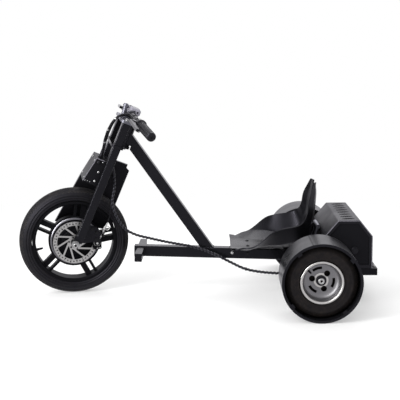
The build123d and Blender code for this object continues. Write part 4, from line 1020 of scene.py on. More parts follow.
    def housing(self) -> None:
        """Folded edge, screws, bolts and plug of the controller housing, and the side case's rim."""
        turn = FORK.to_3x3()
        left, up, back = turn @ Vector((0, -1, 0)), turn @ Vector((0, 0, 1)), turn @ Vector((1, 0, 0))
        marks = [(on_fork(x, -self.screw_side, z), left, back) for x, z in ((-53, 287), (-54, 251))]
        scatter("housing_side_bolts", socket_bolt(4.6, 3.4), marks, ZINC, "steering")
        marks = [(on_fork(x, -self.screw_side, z), left, back)
                 for x, z in ((-70, 243), (-88, 243), (-79, 243), (-50, 326))]
        scatter("housing_side_screws", socket_bolt(2.2, 1.6), marks, ZINC, "steering")
        aim = turn @ Vector((-math.cos(math.radians(10.5)), 0, math.sin(math.radians(10.5))))
        marks = [(on_fork(-78.0 - 18 * s, y, 334 - 97 * s), aim, up) for s in (0.12, 0.86) for y in (-48, 34)]
        scatter("housing_front_screws", socket_bolt(3.4, 2.2), marks, ZINC, "steering")
        near = FORK @ Matrix.Translation((0, -self.housing_half * MM, 0)) @ FACING_LEFT
        # Pale strip along the housing's front and top edges: painted highlight of the fold.
        fold = Shape()
        fold.prism([(-78.6, 334.4), (-45, 334.4), (-45, 331.6), (-76.4, 331.6), (-93.6, 239.6),
                    (-96.4, 237.0)],
                   -0.4, 1.2, near)
        fold.finish("housing_folded_edge", EDGE_HIGHLIGHT, "steering", "housing", sharp=35, bevel=0.4)
        plug = Shape()
        spot = FORK @ Matrix.Translation((-0.066, -self.housing_half * MM, 0.322)) @ FACING_LEFT
        plug.post([(7.2, -0.5), (7.2, 2.0), (6.0, 6.0), (4.4, 7.6), (2.6, 8.0)], spot, 28)
        plug.finish("housing_plug", GRIP, "steering", "controls", sharp=40)
        rim = Shape()
        far = FORK @ Matrix.Translation((0, self.housing_half * MM, 0)) @ FACING_LEFT
        corners = [(-78, 334), (57, 334), (57, 322), (71, 314), (71, 68), (-47, 50), (-120, 34), (-112, 96),
                   (-103, 180), (-96, 237)]
        for low, high in zip(corners, corners[1:] + corners[:1]):
            run = (Vector(high) - Vector(low)).normalized()
            across = Vector((-run.y, run.x)) * 2.0
            ends = [Vector(low) - run * 0.6, Vector(high) + run * 0.6]
            rim.prism([tuple(ends[0] - across * 0.9), tuple(ends[1] - across * 0.9),
                       tuple(ends[1] + across * 0.1), tuple(ends[0] + across * 0.1)], -0.3, 14.4, far)
        rim.finish("side_case_rim", CASE_EDGE, "steering", "housing", sharp=35)


@dataclass(frozen=True)
class Cockpit:
    """Handlebar furniture: display, lock, grips and the levers' small parts.

    Attributes:
        reach: Distance of the bar's ends from the middle.
        flat: Half length of its straight middle.
        forward: Place of its middle against the steering axis.
        height: Height of its middle on the steering axis.
        sweep: How far its ends lie behind the middle.
        drop: How far its ends lie below the middle.
        grip: Length of a grip's ribbed stretch, from the bar's end.
        ribs: Ribs on a grip.
        rib_pitch: Distance from one rib to the next.
        cable_radius: Radius of the cables laid along the bar.
    """
    reach: float = 304.0
    flat: float = 52.0
    forward: float = -14.0
    height: float = 525.0
    sweep: float = 44.0
    drop: float = 17.5
    grip: float = 129.0
    ribs: int = 23
    rib_pitch: float = 5.4
    cable_radius: float = 2.2

    def bar(self, side: int, reach: float, offset: tuple[float, float] = (0.0, 0.0)) -> Vector:
        """Finds a point along the bar.

        Args:
            side: -1 for the rider's left, 1 for the right.
            reach: Distance from the middle.
            offset: Distance back and up from the bar's centre line.

        Returns:
            The point in the row frame.
        """
        share = max(0.0, (reach - self.flat) / (self.reach - self.flat))
        return on_fork(self.forward + self.sweep * share + offset[0], side * reach,
                       self.height - self.drop * share + offset[1])

    def bar_place(self, side: int, reach: float) -> Matrix:
        """Finds a frame on the bar with z along it, outwards.

        Args:
            side: -1 for the rider's left, 1 for the right.
            reach: Distance from the middle.

        Returns:
            The frame in the row frame.
        """
        out = self.bar(side, reach + 1.0) - self.bar(side, reach)
        return Matrix.Translation(self.bar(side, reach)) @ out.to_track_quat("Z", "X").to_matrix().to_4x4()

    def build(self) -> None:
        """Adds the pieces round the bar."""
        self.display()
        self.grips()
        self.lock()
        self.levers()
        self.straps()

    def display(self) -> None:
        """Window, bezel and buttons of the display."""
        place = FORK @ Matrix.Translation((-0.004, 0, 0.5510))
        Shape().prism(rounded(13, 20, 3), -0.4, 0.5, place).finish(
            "display_window", GLASS, "steering", "display", sharp=35)
        rim = Shape()
        outside, inside = rounded(15.2, 22.2, 4), rounded(13, 20, 3)
        count = len(outside)
        points = [(x, y, z) for outline, z in ((outside, -0.6), (outside, 0.7), (inside, 0.9), (inside, -0.6))
                  for x, y in outline]
        faces = [(row * count + i, row * count + (i + 1) % count, (row + 1) % 4 * count + (i + 1) % count,
                  (row + 1) % 4 * count + i) for row in range(4) for i in range(count)]
        rim.add(points, faces, place)
        rim.finish("display_bezel", GREY_ABS, "steering", "display", sharp=35)
        button = Shape()
        for x in (-8.0, 4.0):
            spot = FORK @ Matrix.Translation((x * MM, -0.0318, 0.540)) @ FACING_LEFT
            button.post([(3.6, -0.6), (3.6, 1.0), (2.8, 1.8)], spot, 20)
        button.finish("display_buttons", GRIP, "steering", "display", sharp=40)

    def grips(self) -> None:
        """Ribs and end caps of both grips."""
        for side, name in ((-1, "left"), (1, "right")):
            base = self.bar_place(side, self.reach)
            ribs = Shape()
            for index in range(self.ribs):
                low = -self.grip + index * self.rib_pitch
                ribs.lathe([(15.8, low), (17.0, low + 0.7), (17.0, low + 2.3), (15.8, low + 3.0)], base, 40)
            ribs.finish(f"grip_ribs_{name}", GRIP, "steering", "grip", sharp=50)
            Shape().lathe([(4.6, 2.4), (5.6, 4.0), (12.4, 3.8), (14.2, 2.4), (12.0, 1.0), (4.6, 1.0)],
                          base, 40).finish(
                f"grip_cap_{name}", GRIP, "steering", "grip", sharp=50)

    def lock(self) -> None:
        """Bright face and ring of the lock on the leaning post."""
        place = FORK @ Matrix.Translation((-0.0365, 0, 0.5096)) @ Matrix.Rotation(math.radians(-7), 4, "Y")
        face = Shape()
        face.post([(7.6, 43.4), (7.6, 44.6), (6.8, 45.4), (3.4, 45.4), (3.0, 44.4), (0.4, 44.4)], place, 32)
        for low in (6.0, 12.0, 18.0, 24.0):
            face.lathe([(8.2, low), (9.1, low + 0.6), (9.1, low + 1.8), (8.2, low + 2.4)], place, 32)
        face.finish("lock_face", ALLOY, "steering", "yoke", sharp=40)

    def levers(self) -> None:
        """Clamp bolts and pivot bolts of both brake levers."""
        marks = []
        for side in (-1, 1):
            place = self.bar_place(side, self.reach)
            turn = place.to_3x3()
            for height in (-146.0, -157.0):
                marks.append((within(place, 16.8, 0, height), turn @ Vector((1, 0, 0)),
                              turn @ Vector((0, 0, 1))))
            for way in (-1, 1):
                marks.append((within(place, -26, way * 7.7, -151), turn @ Vector((0, way, 0)),
                              turn @ Vector((0, 0, 1))))
        scatter("lever_bolts", socket_bolt(3.4, 2.8), marks, ZINC, "steering")
        nuts = Shape()
        for side in (-1, 1):
            place = self.bar_place(side, self.reach) @ Matrix.Translation((-0.030, 0, -0.162)) \
                @ Matrix.Rotation(math.pi, 4, "X")
            nuts.post([(5.0, -1), (5.0, 4), (4.2, 5), (4.2, 11), (3.2, 13)], place, 20)
        nuts.finish("lever_adjusters", ZINC, "steering", "controls", sharp=35)

    def straps(self) -> None:
        """Cables laid along the bar to the controls, and the straps that hold them."""
        straps = Shape()
        for side in (-1, 1):
            for reach in (47.0, 84.0, 122.0):
                straps.lathe([(11.2, -3), (12.8, -2.6), (12.8, 2.6), (11.2, 3)],
                             self.bar_place(side, reach), 32)
        straps.finish("bar_straps", PVC, "steering", "harness", sharp=40)
        runs = Shape()
        for side in (-1, 1):
            for high in (-1.5, 3.2):
                line = even(spline_points("bar_cable_line", [
                    self.bar(side, reach, (-13.4 + 0.6 * abs(high - 1), high))
                    for reach in (44, 60, 78, 96, 112, 128)], 6), 5.0)
                runs.tube(line, [self.cable_radius] * len(line), 8)
        line = even(spline_points("bar_crossing_line", [
            on_fork(*point) for point in ((-27.4, -44, 524.5), (-31.6, -34, 526), (-31.8, 0, 526),
                                          (-31.6, 34, 526), (-27.4, 44, 524.5))], 8), 4.0)
        runs.tube(line, [self.cable_radius] * len(line), 8)
        runs.finish("bar_cables", PVC, "steering", "harness", sharp=60)


@dataclass(frozen=True)
class Cables:
    """Wrapped harness, cable bundle and throttle cable, with the boots that they leave through.

    Attributes:
        harness_route: Route of the harness from the straight front wheel's centre, in millimetres.
        bundle_route: Route of the bundle in the fork frame, in millimetres.
        throttle_route: Route of the throttle's own cable in the fork frame, in millimetres.
        hidden: Steps of the harness inside the housing.
        pitch: Pitch of the spiral wrap.
        cover: Share of the pitch that the wrap's band covers.
        turn_steps: Steps in each turn of the band.
        core_radius: Radius of the cables inside the wrap.
        bend_steps: Steps of the harness whose points are passed to finish as the ends of a bend, which finish
            does not use.
        tie_steps: Steps of the harness that a tie holds.
        strands: Cables in the bundle.
        strand_radius: Radius of each of them.
        strand_reach: Their distance from the bundle's centre line.
        lay_turns: Turns that they make round it.
        clip_steps: Steps of the bundle that a clip holds.
        throttle_radius: Radius of the throttle's cable.
    """
    harness_route: tuple[Point, ...] = (
        (149.5, -46, 499.6), (164, -46, 452), (163, -64, 402), (152, -70, 356), (167, -68, 306),
        (196, -64, 256), (240, -60, 232), (281, -57, 222), (345, -52, 205), (421, -46, 190), (480, -44, 176),
        (541, -44, 149), (596, -50, 121), (646, -60, 98), (710, -66, 88), (775, -72, 85), (842, -78, 82),
        (900, -84, 79), (958, -90, 87), (1000, -94, 122.7))
    bundle_route: tuple[Point, ...] = (
        (-25.4, -46, 523), (-45, -45, 518), (-63, -42, 499), (-72, -35, 468), (-73, -26, 434),
        (-69, -18, 400), (-61, -12, 367), (-57, -8, 335.3))
    throttle_route: tuple[Point, ...] = (
        (-31, -36, 522), (-47, -33, 516), (-60, -27, 498), (-65, -20, 465), (-65, -12, 430), (-62, -5, 400),
        (-56, 1, 366), (-50, 8, 333.6))
    hidden: int = 4
    pitch: float = 14.0
    cover: float = 0.52
    turn_steps: int = 16
    core_radius: float = 3.9
    bend_steps: tuple[int, int] = (24, 118)
    tie_steps: tuple[int, ...] = (164, 201, 242)
    strands: int = 5
    strand_radius: float = 2.1
    strand_reach: float = 2.75
    lay_turns: float = 1.1
    clip_steps: tuple[int, ...] = (13, 26, 39)
    throttle_radius: float = 3.3

    def build(self) -> None:
        """Makes the harness, the bundle and the throttle's cable."""
        self.harness()
        self.bundle()

    def boot(self, shape: Shape, line: Sequence[Vector], radii: Sequence[float]) -> None:
        """Adds a ribbed, tapered boot along a stretch of a cable.

        Args:
            shape: Where it is added.
            line: The stretch, from its thick end.
            radii: Radius at the thick and at the thin end.
        """
        sizes = []
        for index in range(len(line)):
            share = index / (len(line) - 1)
            sizes.append(radii[0] + (radii[1] - radii[0]) * share + (0.5 if index % 2 else 0.0))
        shape.tube(line, sizes, 24)

    def wrap(self, shape: Shape, line: Sequence[Vector]) -> None:
        """Winds a flat band round a cable.

        Args:
            shape: Where it is added.
            line: Even points of the cable's centre line.
        """
        # The band's section: place across it, in halves of its width, and distance from the centre line.
        section = ((-1, 4.7), (-0.6, 5.35), (0, 5.5), (0.6, 5.35), (1, 4.7), (1, 3.5), (-1, 3.5))
        frames = rails(line)
        steps = int(run_length(line) / MM / self.pitch * self.turn_steps)
        half = 0.5 * self.cover * self.pitch * MM
        before = None
        first = None
        for index in range(steps + 1):
            along = index / steps * (len(line) - 1)
            base = min(int(along), len(line) - 2)
            share = along - base
            point = line[base].lerp(line[base + 1], share)
            side = frames[base][0].lerp(frames[base + 1][0], share).normalized()
            up = frames[base][1].lerp(frames[base + 1][1], share).normalized()
            run = side.cross(up).normalized()
            angle = 2 * math.pi * index / self.turn_steps
            out = side * math.cos(angle) + up * math.sin(angle)
            row = [shape.bm.verts.new(point + out * reach * MM + run * shift * half)
                   for shift, reach in section]
            if before:
                for step in range(len(row)):
                    there = (step + 1) % len(row)
                    shape.bm.faces.new((before[step], before[there], row[there], row[step]))
            else:
                first = row
            before = row
        shape.bm.faces.new(first)
        shape.bm.faces.new(before[::-1])

    def harness(self) -> None:
        """Cables in a spiral wrap that run from the fork to the frame."""
        whole = even(spline_points("harness_line", [vehicle(*p) for p in self.harness_route]), 3.0)
        line = whole[self.hidden:]
        start, end = (tuple(line[step]) for step in self.bend_steps)
        bend = {"first": "steering", "second": "chassis", "start": start, "end": end}
        core = Shape().tube(line, [self.core_radius] * len(line), 12)
        core.finish("harness_core", PVC, "chassis", "harness", sharp=60, blend=bend)
        shape = Shape()
        self.wrap(shape, line)
        piece = shape.finish("harness_wrapped", WRAP, "chassis", "harness", replaces=["harness"], sharp=60,
                             blend=bend)
        top = Shape()
        self.boot(top, line[1:13], (9.0, 6.4))
        place = Matrix.Translation(on_fork(-12.9, -42.4, 327.4)) @ FORK.to_3x3().to_4x4() @ Matrix.Rotation(
            math.radians(90), 4, "Y")
        top.post([(13.0, -0.6), (13.0, 2.4), (11.4, 3.6), (9.0, 4.2)], place, 6)
        top.finish("harness_boot", GRIP, "steering", "controls", sharp=40)
        low = Shape()
        self.boot(low, line[-2:-12:-1], (9.0, 6.4))
        low.post([(12.5, 4.6), (12.5, 1.8), (10.6, 0.6)], Matrix.Translation(vehicle(1000, -94, 122.7)), 6)
        low.finish("harness_tray_boot", GRIP, "chassis", "controls", sharp=40)
        ties = Shape()
        for index in self.tie_steps:
            place = on_line(line, index)
            ties.lathe([(5.2, -1.8), (6.5, -1.8), (6.5, 1.8), (5.2, 1.8)], place, 24)
            ties.block((6.0, -2.4, -2.2), (9.4, 2.4, 2.2), place)
        ties.finish("harness_ties", GRIP, "chassis", "harness", sharp=40)

    def bundle(self) -> None:
        """Cables laid round each other from the bar to the housing, with the throttle's, clips and boots."""
        line = even(spline_points("bundle_line", [on_fork(*p) for p in self.bundle_route]), 4.0)
        frames = rails(line)
        shape = Shape()
        for strand in range(self.strands):
            phase = 2 * math.pi * strand / self.strands
            run = []
            for index, (point, (side, up)) in enumerate(zip(line, frames)):
                angle = phase + 2 * math.pi * self.lay_turns * index / len(line)
                run.append(point + (side * math.cos(angle) + up * math.sin(angle)) * self.strand_reach * MM)
            shape.tube(run, [self.strand_radius] * len(run), 8)
        piece = shape.finish("cable_bundle_strands", PVC, "steering", "harness",
                             replaces=["cable_bundle"], sharp=60)
        self.throttle()
        clips = Shape()
        for index in self.clip_steps:
            clips.lathe([(4.4, -2.6), (5.6, -2.6), (5.6, 2.6), (4.4, 2.6)], on_line(line, index), 24)
        clips.finish("bundle_clips", ZINC, "steering", "harness", sharp=40)
        boots = Shape()
        self.boot(boots, line[-1:-9:-1], (8.6, 5.8))
        boots.post([(12.0, -1.4), (12.0, 1.4), (10.2, 2.4)],
                   Matrix.Translation(line[-1]) @ FORK.to_3x3().to_4x4(), 6)
        self.boot(boots, line[0:6], (7.0, 5.6))
        boots.finish("bundle_boots", GRIP, "steering", "controls", sharp=40)

    def throttle(self) -> None:
        """The throttle's own cable, beside the bundle."""
        line = even(spline_points("throttle_line", [on_fork(*p) for p in self.throttle_route]), 4.0)
        piece = Shape().tube(line, [self.throttle_radius] * len(line), 12).finish(
            "throttle_cable", PVC, "steering", "harness", sharp=60)


@dataclass(frozen=True)
class Frame:
    """Welds, bolts and pads of the frame, and the seat.

    Attributes:
        foot: Place where the inclined tube meets the beam's top.
        foot_half: Half length of that joint along the beam.
        tube_half: Half width of the frame's tubes.
        bead_pitch: Distance from one ripple of a weld to the next.
        corner_start: Where the seat's front corners start to fall, behind the straight front wheel's centre.
        corner_length: Length along the trike over which the fall grows.
        corner_inside: Where they start to fall, from the trike's middle.
        corner_width: Width over which the fall grows.
        corner_drop: How far they fall.
        corner_draw: Share of the width by which they are drawn in.
        seat_bolt_side: Distance of the seat's bolts from the trike's middle.
        seat_mounts: Place along the trike, height of the bolts and of the pads' feet at each bracket.
    """
    foot: Point = (502.0, 0.0, 174.1)
    foot_half: float = 24.4
    tube_half: float = 20.0
    bead_pitch: float = 3.1
    corner_start: float = 645.0
    corner_length: float = 50.0
    corner_inside: float = 80.0
    corner_width: float = 70.0
    corner_drop: float = 14.5
    corner_draw: float = 0.12
    seat_bolt_side: float = 45.0
    seat_mounts: tuple[Point, ...] = ((655.0, 185.2, 179.0), (800.0, 186.6, 179.4))

    def build(self) -> None:
        """Adds the welds and bolts and rounds the seat's front corners."""
        self.welds()
        self.bolts()
        self.seat()

    def seat(self) -> None:
        """Copies the seat shell with its front corners drawn in and rolled down."""
        shape = Shape()
        shape.bm.from_mesh(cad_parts["seat_shell"].data)
        bmesh.ops.remove_doubles(shape.bm, verts=shape.bm.verts, dist=WELD)
        for vert in shape.bm.verts:
            ahead = (self.corner_start - MIDDLE_X - vert.co.x / MM) / self.corner_length
            ahead = min(1.0, max(0.0, ahead))
            outside = (abs(vert.co.y) / MM - self.corner_inside) / self.corner_width
            outside = min(1.0, max(0.0, outside))
            share = ahead * ahead * (3 - 2 * ahead) * outside * outside
            vert.co.z -= self.corner_drop * share * MM
            vert.co.y *= 1 - self.corner_draw * share
        shape.finish("seat_moulded", SEAT, "chassis", "seat", replaces=["seat_shell"], sharp=50)

    def welds(self) -> None:
        """Rippled beads where the frame's tubes meet."""
        beads: list[Mark] = []
        up, along = Vector((0, 0, 1)), Vector((1, 0, 0))
        half = self.tube_half
        corners = [(-self.foot_half, -half), (self.foot_half, -half), (self.foot_half, half),
                   (-self.foot_half, half)]
        for (x0, y0), (x1, y1) in zip(corners, corners[1:] + corners[:1]):
            steps = round(math.hypot(x1 - x0, y1 - y0) / 3.0)
            for index in range(steps):
                share = index / steps
                x, y = x0 + (x1 - x0) * share, y0 + (y1 - y0) * share
                beads.append((vehicle(self.foot[0] + x, y, self.foot[2] - 0.0326 * x), up, along))
        for side in (-1, 1):
            out = Vector((0, side, 0))
            for height in (-15.0, 15.0):
                for index in range(9):
                    spot = vehicle(239.5 + index * self.bead_pitch, side * half, 162.2 + height)
                    beads.append((spot, out, along))
            for across in (-13.5, 13.5):
                for index in range(10):
                    spot = vehicle(252 + across, side * half, 148.5 + index * self.bead_pitch)
                    beads.append((spot, out, along))
        for side in (-1, 1):
            for index in range(13):
                beads.append((vehicle(871.8, side * half, 123.5 + index * 3.0), Vector((0, side, 0)), along))
        bead = Shape().post([(2.3, -0.8), (1.9, 0.9), (0.8, 1.7)], Matrix(), 8)
        scatter("frame_welds", bead, beads, POWDER, "chassis", jitter=0.3)
        marks = []
        head = Matrix.Translation(FOOT) @ Matrix.Rotation(math.radians(RAKE), 4, "Y")
        for side in (-1, 1):
            for index in range(20):
                height = 418 + index * self.bead_pitch
                back = 11.0 + 0.7 * (index / 19)
                marks.append((within(head, back, side * 21.4, height),
                              head.to_3x3() @ Vector((0.3, side, 0)).normalized(),
                              head.to_3x3() @ Vector((0, 0, 1))))
        bead = Shape().post([(2.2, -0.8), (1.8, 0.9), (0.8, 1.6)], Matrix(), 8)
        scatter("head_welds", bead, marks, POWDER, "chassis", jitter=0.3)

    def bolts(self) -> None:
        """Bolts of the brackets and of the seat, and the pads under the seat's bolts."""
        up, along = Vector((0, 0, 1)), Vector((1, 0, 0))
        marks = [(vehicle(x, side * self.tube_half, z), Vector((0, side, 0)), along)
                 for x, z in ((655, 151), (800, 146)) for side in (-1, 1)]
        scatter("bracket_bolts", hex_bolt(8, 4, 6), marks, DARK_BOLT, "chassis")
        marks = [(vehicle(597, -self.tube_half, 153), Vector((0, -1, 0)), along)]
        scatter("beam_screw", hex_bolt(7, 3, 5.5), marks, ZINC_BRIGHT, "chassis")
        marks = [(vehicle(x, side * self.seat_bolt_side, z), up, along)
                 for x, z, _ in self.seat_mounts for side in (-1, 1)]
        scatter("seat_bolts", socket_bolt(6.5, 3.0), marks, DARK_BOLT, "chassis")
        pads = Shape()
        for side in (-1, 1):
            for x, _, foot in self.seat_mounts:
                spot = Matrix.Translation(vehicle(x, side * self.seat_bolt_side, 0))
                pads.post([(9.5, foot), (9.5, 180.2), (8.5, 180.8)], spot, 28)
        pads.finish("seat_bolt_pads", GRIP, "chassis", "controls", sharp=40)


@dataclass(frozen=True)
class RearEnd:
    """Rear wheels and battery box.

    Attributes:
        box_half: Half width of the battery box.
        box_top: Height of its top.
        louvres: Louvres across its top.
        louvre_pitch: Distance between two louvres.
        louvre_middle: Place of the louvres along the trike.
        louvre_half: Half length of a louvre.
        hole_radius: Radius of the round holes in a rear rim's dish.
        slot_reaches: Outer and inner distance of its slots from the axle.
    """
    box_half: float = 188.0
    box_top: float = 306.3
    louvres: int = 8
    louvre_pitch: float = 44.0
    louvre_middle: float = 1011.5
    louvre_half: int = 24
    hole_radius: float = 10.4
    slot_reaches: tuple[float, float] = (47.8, 38.6)

    def build(self) -> None:
        """Dresses the rear of the trike."""
        self.tyres()
        self.wheels()
        self.box()

    def tyres(self) -> None:
        """Kart tyres with rounded shoulders and moulded rings."""
        half = [(127.1, 0), (127.0, 36), (124, 49), (117, 59), (107, 64), (104.5, 65.6), (101.5, 65.6),
                (99.5, 64.6), (92, 65.6), (84, 64.6), (81.0, 63.4), (79.0, 64.8), (77.0, 63.4), (74, 60),
                (70.8, 55)]
        hollow = [(78, 52), (92, 58), (106, 58), (118, 48), (120.5, 34)]
        profile = half + hollow + [(r, -z) for r, z in hollow[::-1]] + [(r, -z) for r, z in half[:0:-1]]
        for name, place in REAR.items():
            Shape().lathe(profile, place, steps=128).finish(
                f"rear_tyre_carcass_{name}", KART_RUBBER, f"rear_wheel_{name}", "kart_tyre",
                replaces=[f"rear_tyre_{name}"], sharp=60)

    def wheels(self) -> None:
        """Dresses both rear wheels and the axle's ends in them."""
        for name, place in REAR.items():
            body = f"rear_wheel_{name}"
            self.rim(name, place, body)
            self.hub(name, place, body)
            self.sleeve(name, place, body)
            self.axle_end(name, place)

    def rim_cutter(self, place: Matrix) -> Shape:
        """Makes what is cut out of a rim: three round holes and three slots.

        Args:
            place: The wheel's frame.

        Returns:
            The shape, across the dish.
        """
        cutter = Shape()
        outer, inner = self.slot_reaches
        arc = [math.radians(37 + 2.6 * step) for step in range(18)]
        slot = [(outer * math.cos(a), outer * math.sin(a)) for a in arc]
        slot += [(inner * math.cos(a), inner * math.sin(a)) for a in arc[::-1]]
        for index in range(3):
            turn = place @ Matrix.Rotation(math.radians(49 + 120 * index), 4, "Z")
            cutter.prism(circle(self.hole_radius, 32), 10, 40, turn @ Matrix.Translation((0.0310, 0, 0)))
            cutter.prism(slot, 10, 40, turn)
        return cutter

    def rim(self, name: str, place: Matrix, body: str) -> None:
        """Dish, barrel and rolled lip of a rim, and the hub's flange plate on it.

        Args:
            name: The wheel's side.
            place: The wheel's frame.
            body: The wheel's body.
        """
        front = [(66.2, 60.0), (65.8, 52.0), (65.0, 43.0), (62.8, 36.0), (58.6, 30.4), (52.4, 27.2),
                 (44.0, 26.2), (17.8, 26.2), (17.8, 23.6), (44.0, 23.6), (53.4, 24.6), (60.2, 28.2),
                 (65.0, 34.8), (67.2, 42.6), (68.0, 52.0), (68.2, 60.0)]
        back = [(68.0, 59.0), (70.0, 59.0), (70.0, -58.8), (66.4, -58.8), (66.2, 26.0), (60.0, 21.4),
                (17.8, 21.4), (17.8, 23.4), (58.0, 23.4), (66.4, 33.0)]
        lip = [(64.8, 59.2), (65.4, 63.2), (66.6, 65.4), (69.2, 66.8), (72.0, 66.8), (73.9, 65.4),
               (73.9, 63.6), (71.4, 60.8), (68.0, 58.8)]
        flange = [(18.4, 26.4), (25.4, 26.4), (25.4, 28.4), (24.4, 29.0), (18.4, 29.0)]
        cutter = self.rim_cutter(place)
        carve(Shape().lathe(front, place, 96).bm, cutter).finish(
            f"rear_rim_dish_{name}", DISH, body, "kart_rim", replaces=[f"rear_rim_{name}"], sharp=35)
        # The barrel's dark alloy is painted shade of the wheel's inside, seen through the dish's holes.
        carve(Shape().lathe(back, place, 96).bm, cutter).finish(
            f"rear_rim_barrel_{name}", BARREL_SHADE, body, "kart_rim", sharp=35)
        Shape().lathe(lip, place, 128).finish(f"rim_rolled_lip_{name}", RIM, body, "kart_rim", sharp=60)
        carve(Shape().lathe(flange, place, 96).bm, cutter).finish(
            f"hub_flange_{name}", RIM, body, "hub", sharp=35)

    def hub(self, name: str, place: Matrix, body: str) -> None:
        """Seal and back flange of a hub, and the wheel's valve. The flange is dark as painted shade behind
        the dish's holes.

        Args:
            name: The wheel's side.
            place: The wheel's frame.
            body: The wheel's body.
        """
        seal = [(16.5, 26.4), (18.3, 26.4), (18.3, 30.4), (17.6, 31.2), (16.5, 31.0)]
        Shape().lathe(seal, place, 64).finish(f"hub_seal_{name}", GRIP, body, "grip", sharp=35)
        # A dark disc behind the dish: painted shade seen through the rim's holes.
        flange = [(20.6, 4.0), (63.0, 4.0), (63.0, 7.0), (58.0, 9.0), (20.6, 9.0)]
        Shape().lathe(flange, place, 96).finish(f"hub_back_flange_{name}", SHADE_STEEL, body, "hub", sharp=35)
        turn = place @ Matrix.Rotation(math.radians(140), 4, "Z")
        spot = turn @ Matrix.Translation((0.0600, 0, 0.036)) @ Matrix.Rotation(math.radians(-35), 4, "Y")
        Shape().post([(5.0, -4), (5.0, 0), (3.6, 3), (3.4, 17), (2.6, 21)], spot, 20).finish(
            f"rear_valve_{name}", GRIP, body, "grip", sharp=40)

    def sleeve(self, name: str, place: Matrix, body: str) -> None:
        """Welded seams and rounded ends of a sleeve.

        Args:
            name: The wheel's side.
            place: The wheel's frame.
            body: The wheel's body.
        """
        seam = Shape()
        for angle in (104, 284):
            turn = place @ Matrix.Rotation(math.radians(angle), 4, "Z")
            seam.block((135.4, -2.4, -78.5), (136.6, 2.4, 78.5), turn)
        seam.finish(f"sleeve_seam_{name}", SEAM_AND_SLOT_SHADE, body, "sleeve", sharp=35)
        ends = Shape()
        for side in (-1, 1):
            ends.lathe([(128.6, side * 79.2), (130.2, side * 80.5), (135.0, side * 80.5),
                        (136.2, side * 79.4), (132.0, side * 78.6)], place, 128)
        ends.finish(f"sleeve_ends_{name}", SLEEVE, body, "sleeve", sharp=60)

    def axle_end(self, name: str, place: Matrix) -> None:
        """Bright tip, black nut cap, and a dark disc in the tip that is painted shade of the centre hole, at
        the axle's end.

        Args:
            name: The wheel's side.
            place: The wheel's frame.
        """
        tip = [(4.4, 42.4), (9.6, 42.4), (9.6, 43.4), (8.8, 44.0), (5.2, 44.0), (4.4, 43.4)]
        Shape().lathe(tip, place, 40).finish(
            f"rear_axle_tip_{name}", ZINC_BRIGHT, "chassis", "axle", sharp=40)
        cap = [(16.1, 31.7), (16.9, 31.7), (16.9, 37.9), (15.8, 38.9), (10.6, 38.9), (10.6, 37.7),
               (16.1, 37.7)]
        Shape().lathe(cap, place, 64).finish(f"rear_nut_cap_{name}", GRIP, "chassis", "grip", sharp=40)
        # Dark disc inside the tip's ring: painted shade of the axle's centre hole.
        Shape().post([(4.6, 42.4), (4.6, 43.4), (4.0, 43.5)], place, 28).finish(
            f"rear_axle_centre_{name}", SHADE_STEEL, "chassis", "axle", sharp=40)

    def louvre(self) -> Shape:
        """Makes one pressed hood: a quarter dome, open on its left.

        Returns:
            The shape about its own origin, open towards -Y.
        """
        hood = Shape()
        strips = []
        for row in range(7):
            angle = math.radians(15 * row)
            line = []
            for x in range(-self.louvre_half, self.louvre_half + 1, 3):
                arch = math.sqrt(max(0.0, 1 - (x / self.louvre_half) ** 2))
                line.append(hood.bm.verts.new(
                    Vector((x, 5.6 * arch * math.cos(angle) - 2.4, 2.5 * arch * math.sin(angle) - 0.3)) * MM))
            strips.append(line)
        for before, after in zip(strips, strips[1:]):
            for index in range(len(before) - 1):
                hood.bm.faces.new((before[index], before[index + 1], after[index + 1], after[index]))
        bmesh.ops.remove_doubles(hood.bm, verts=hood.bm.verts, dist=0.00005)
        bmesh.ops.recalc_face_normals(hood.bm, faces=hood.bm.faces)
        bmesh.ops.solidify(hood.bm, geom=hood.bm.faces, thickness=0.0009)
        return hood

    def box(self) -> None:
        """Louvre hoods, screws and the painted highlights of the folded edges of the battery box."""
        turn = Matrix.Rotation(math.radians(8), 3, "Z")
        up, along = Vector((0, 0, 1)), Vector((1, 0, 0))
        first = -(self.louvres - 1) / 2
        marks = [(vehicle(self.louvre_middle, (first + index) * self.louvre_pitch, self.box_top), up,
                  turn @ along)
                 for index in range(self.louvres)]
        scatter("box_louvre_hoods", self.louvre(), marks, SHEET, "chassis")
        # Dark ovals beside the hoods: painted shade of the slots' openings.
        oval = [(22 * math.cos(math.radians(angle)), 2.3 * math.sin(math.radians(angle)))
                for angle in range(0, 360, 15)]
        slot = Shape().prism(oval, -0.2, 0.35, Matrix())
        shift = [(spot + turn @ Vector((0.0, -0.0026, 0.0)), aim, run) for spot, aim, run in marks]
        scatter("box_louvre_slots", slot, shift, SEAM_AND_SLOT_SHADE, "chassis")
        screws = []
        for side in (-1, 1):
            for x, z in ((929, 238), (1091, 238), (929, 142), (1091, 142), (984, 301), (1040, 301)):
                screws.append((vehicle(x, side * self.box_half, z), Vector((0, side, 0)), along))
        scatter("box_screws", socket_bolt(2.6, 1.6), screws, DARK_BOLT, "chassis")
        marks = [(vehicle(1106, y, 131.1), up, along) for y in (-160, -55, 55, 160)]
        scatter("tray_bolts", hex_bolt(8, 4, 6.5), marks, ZINC, "chassis")
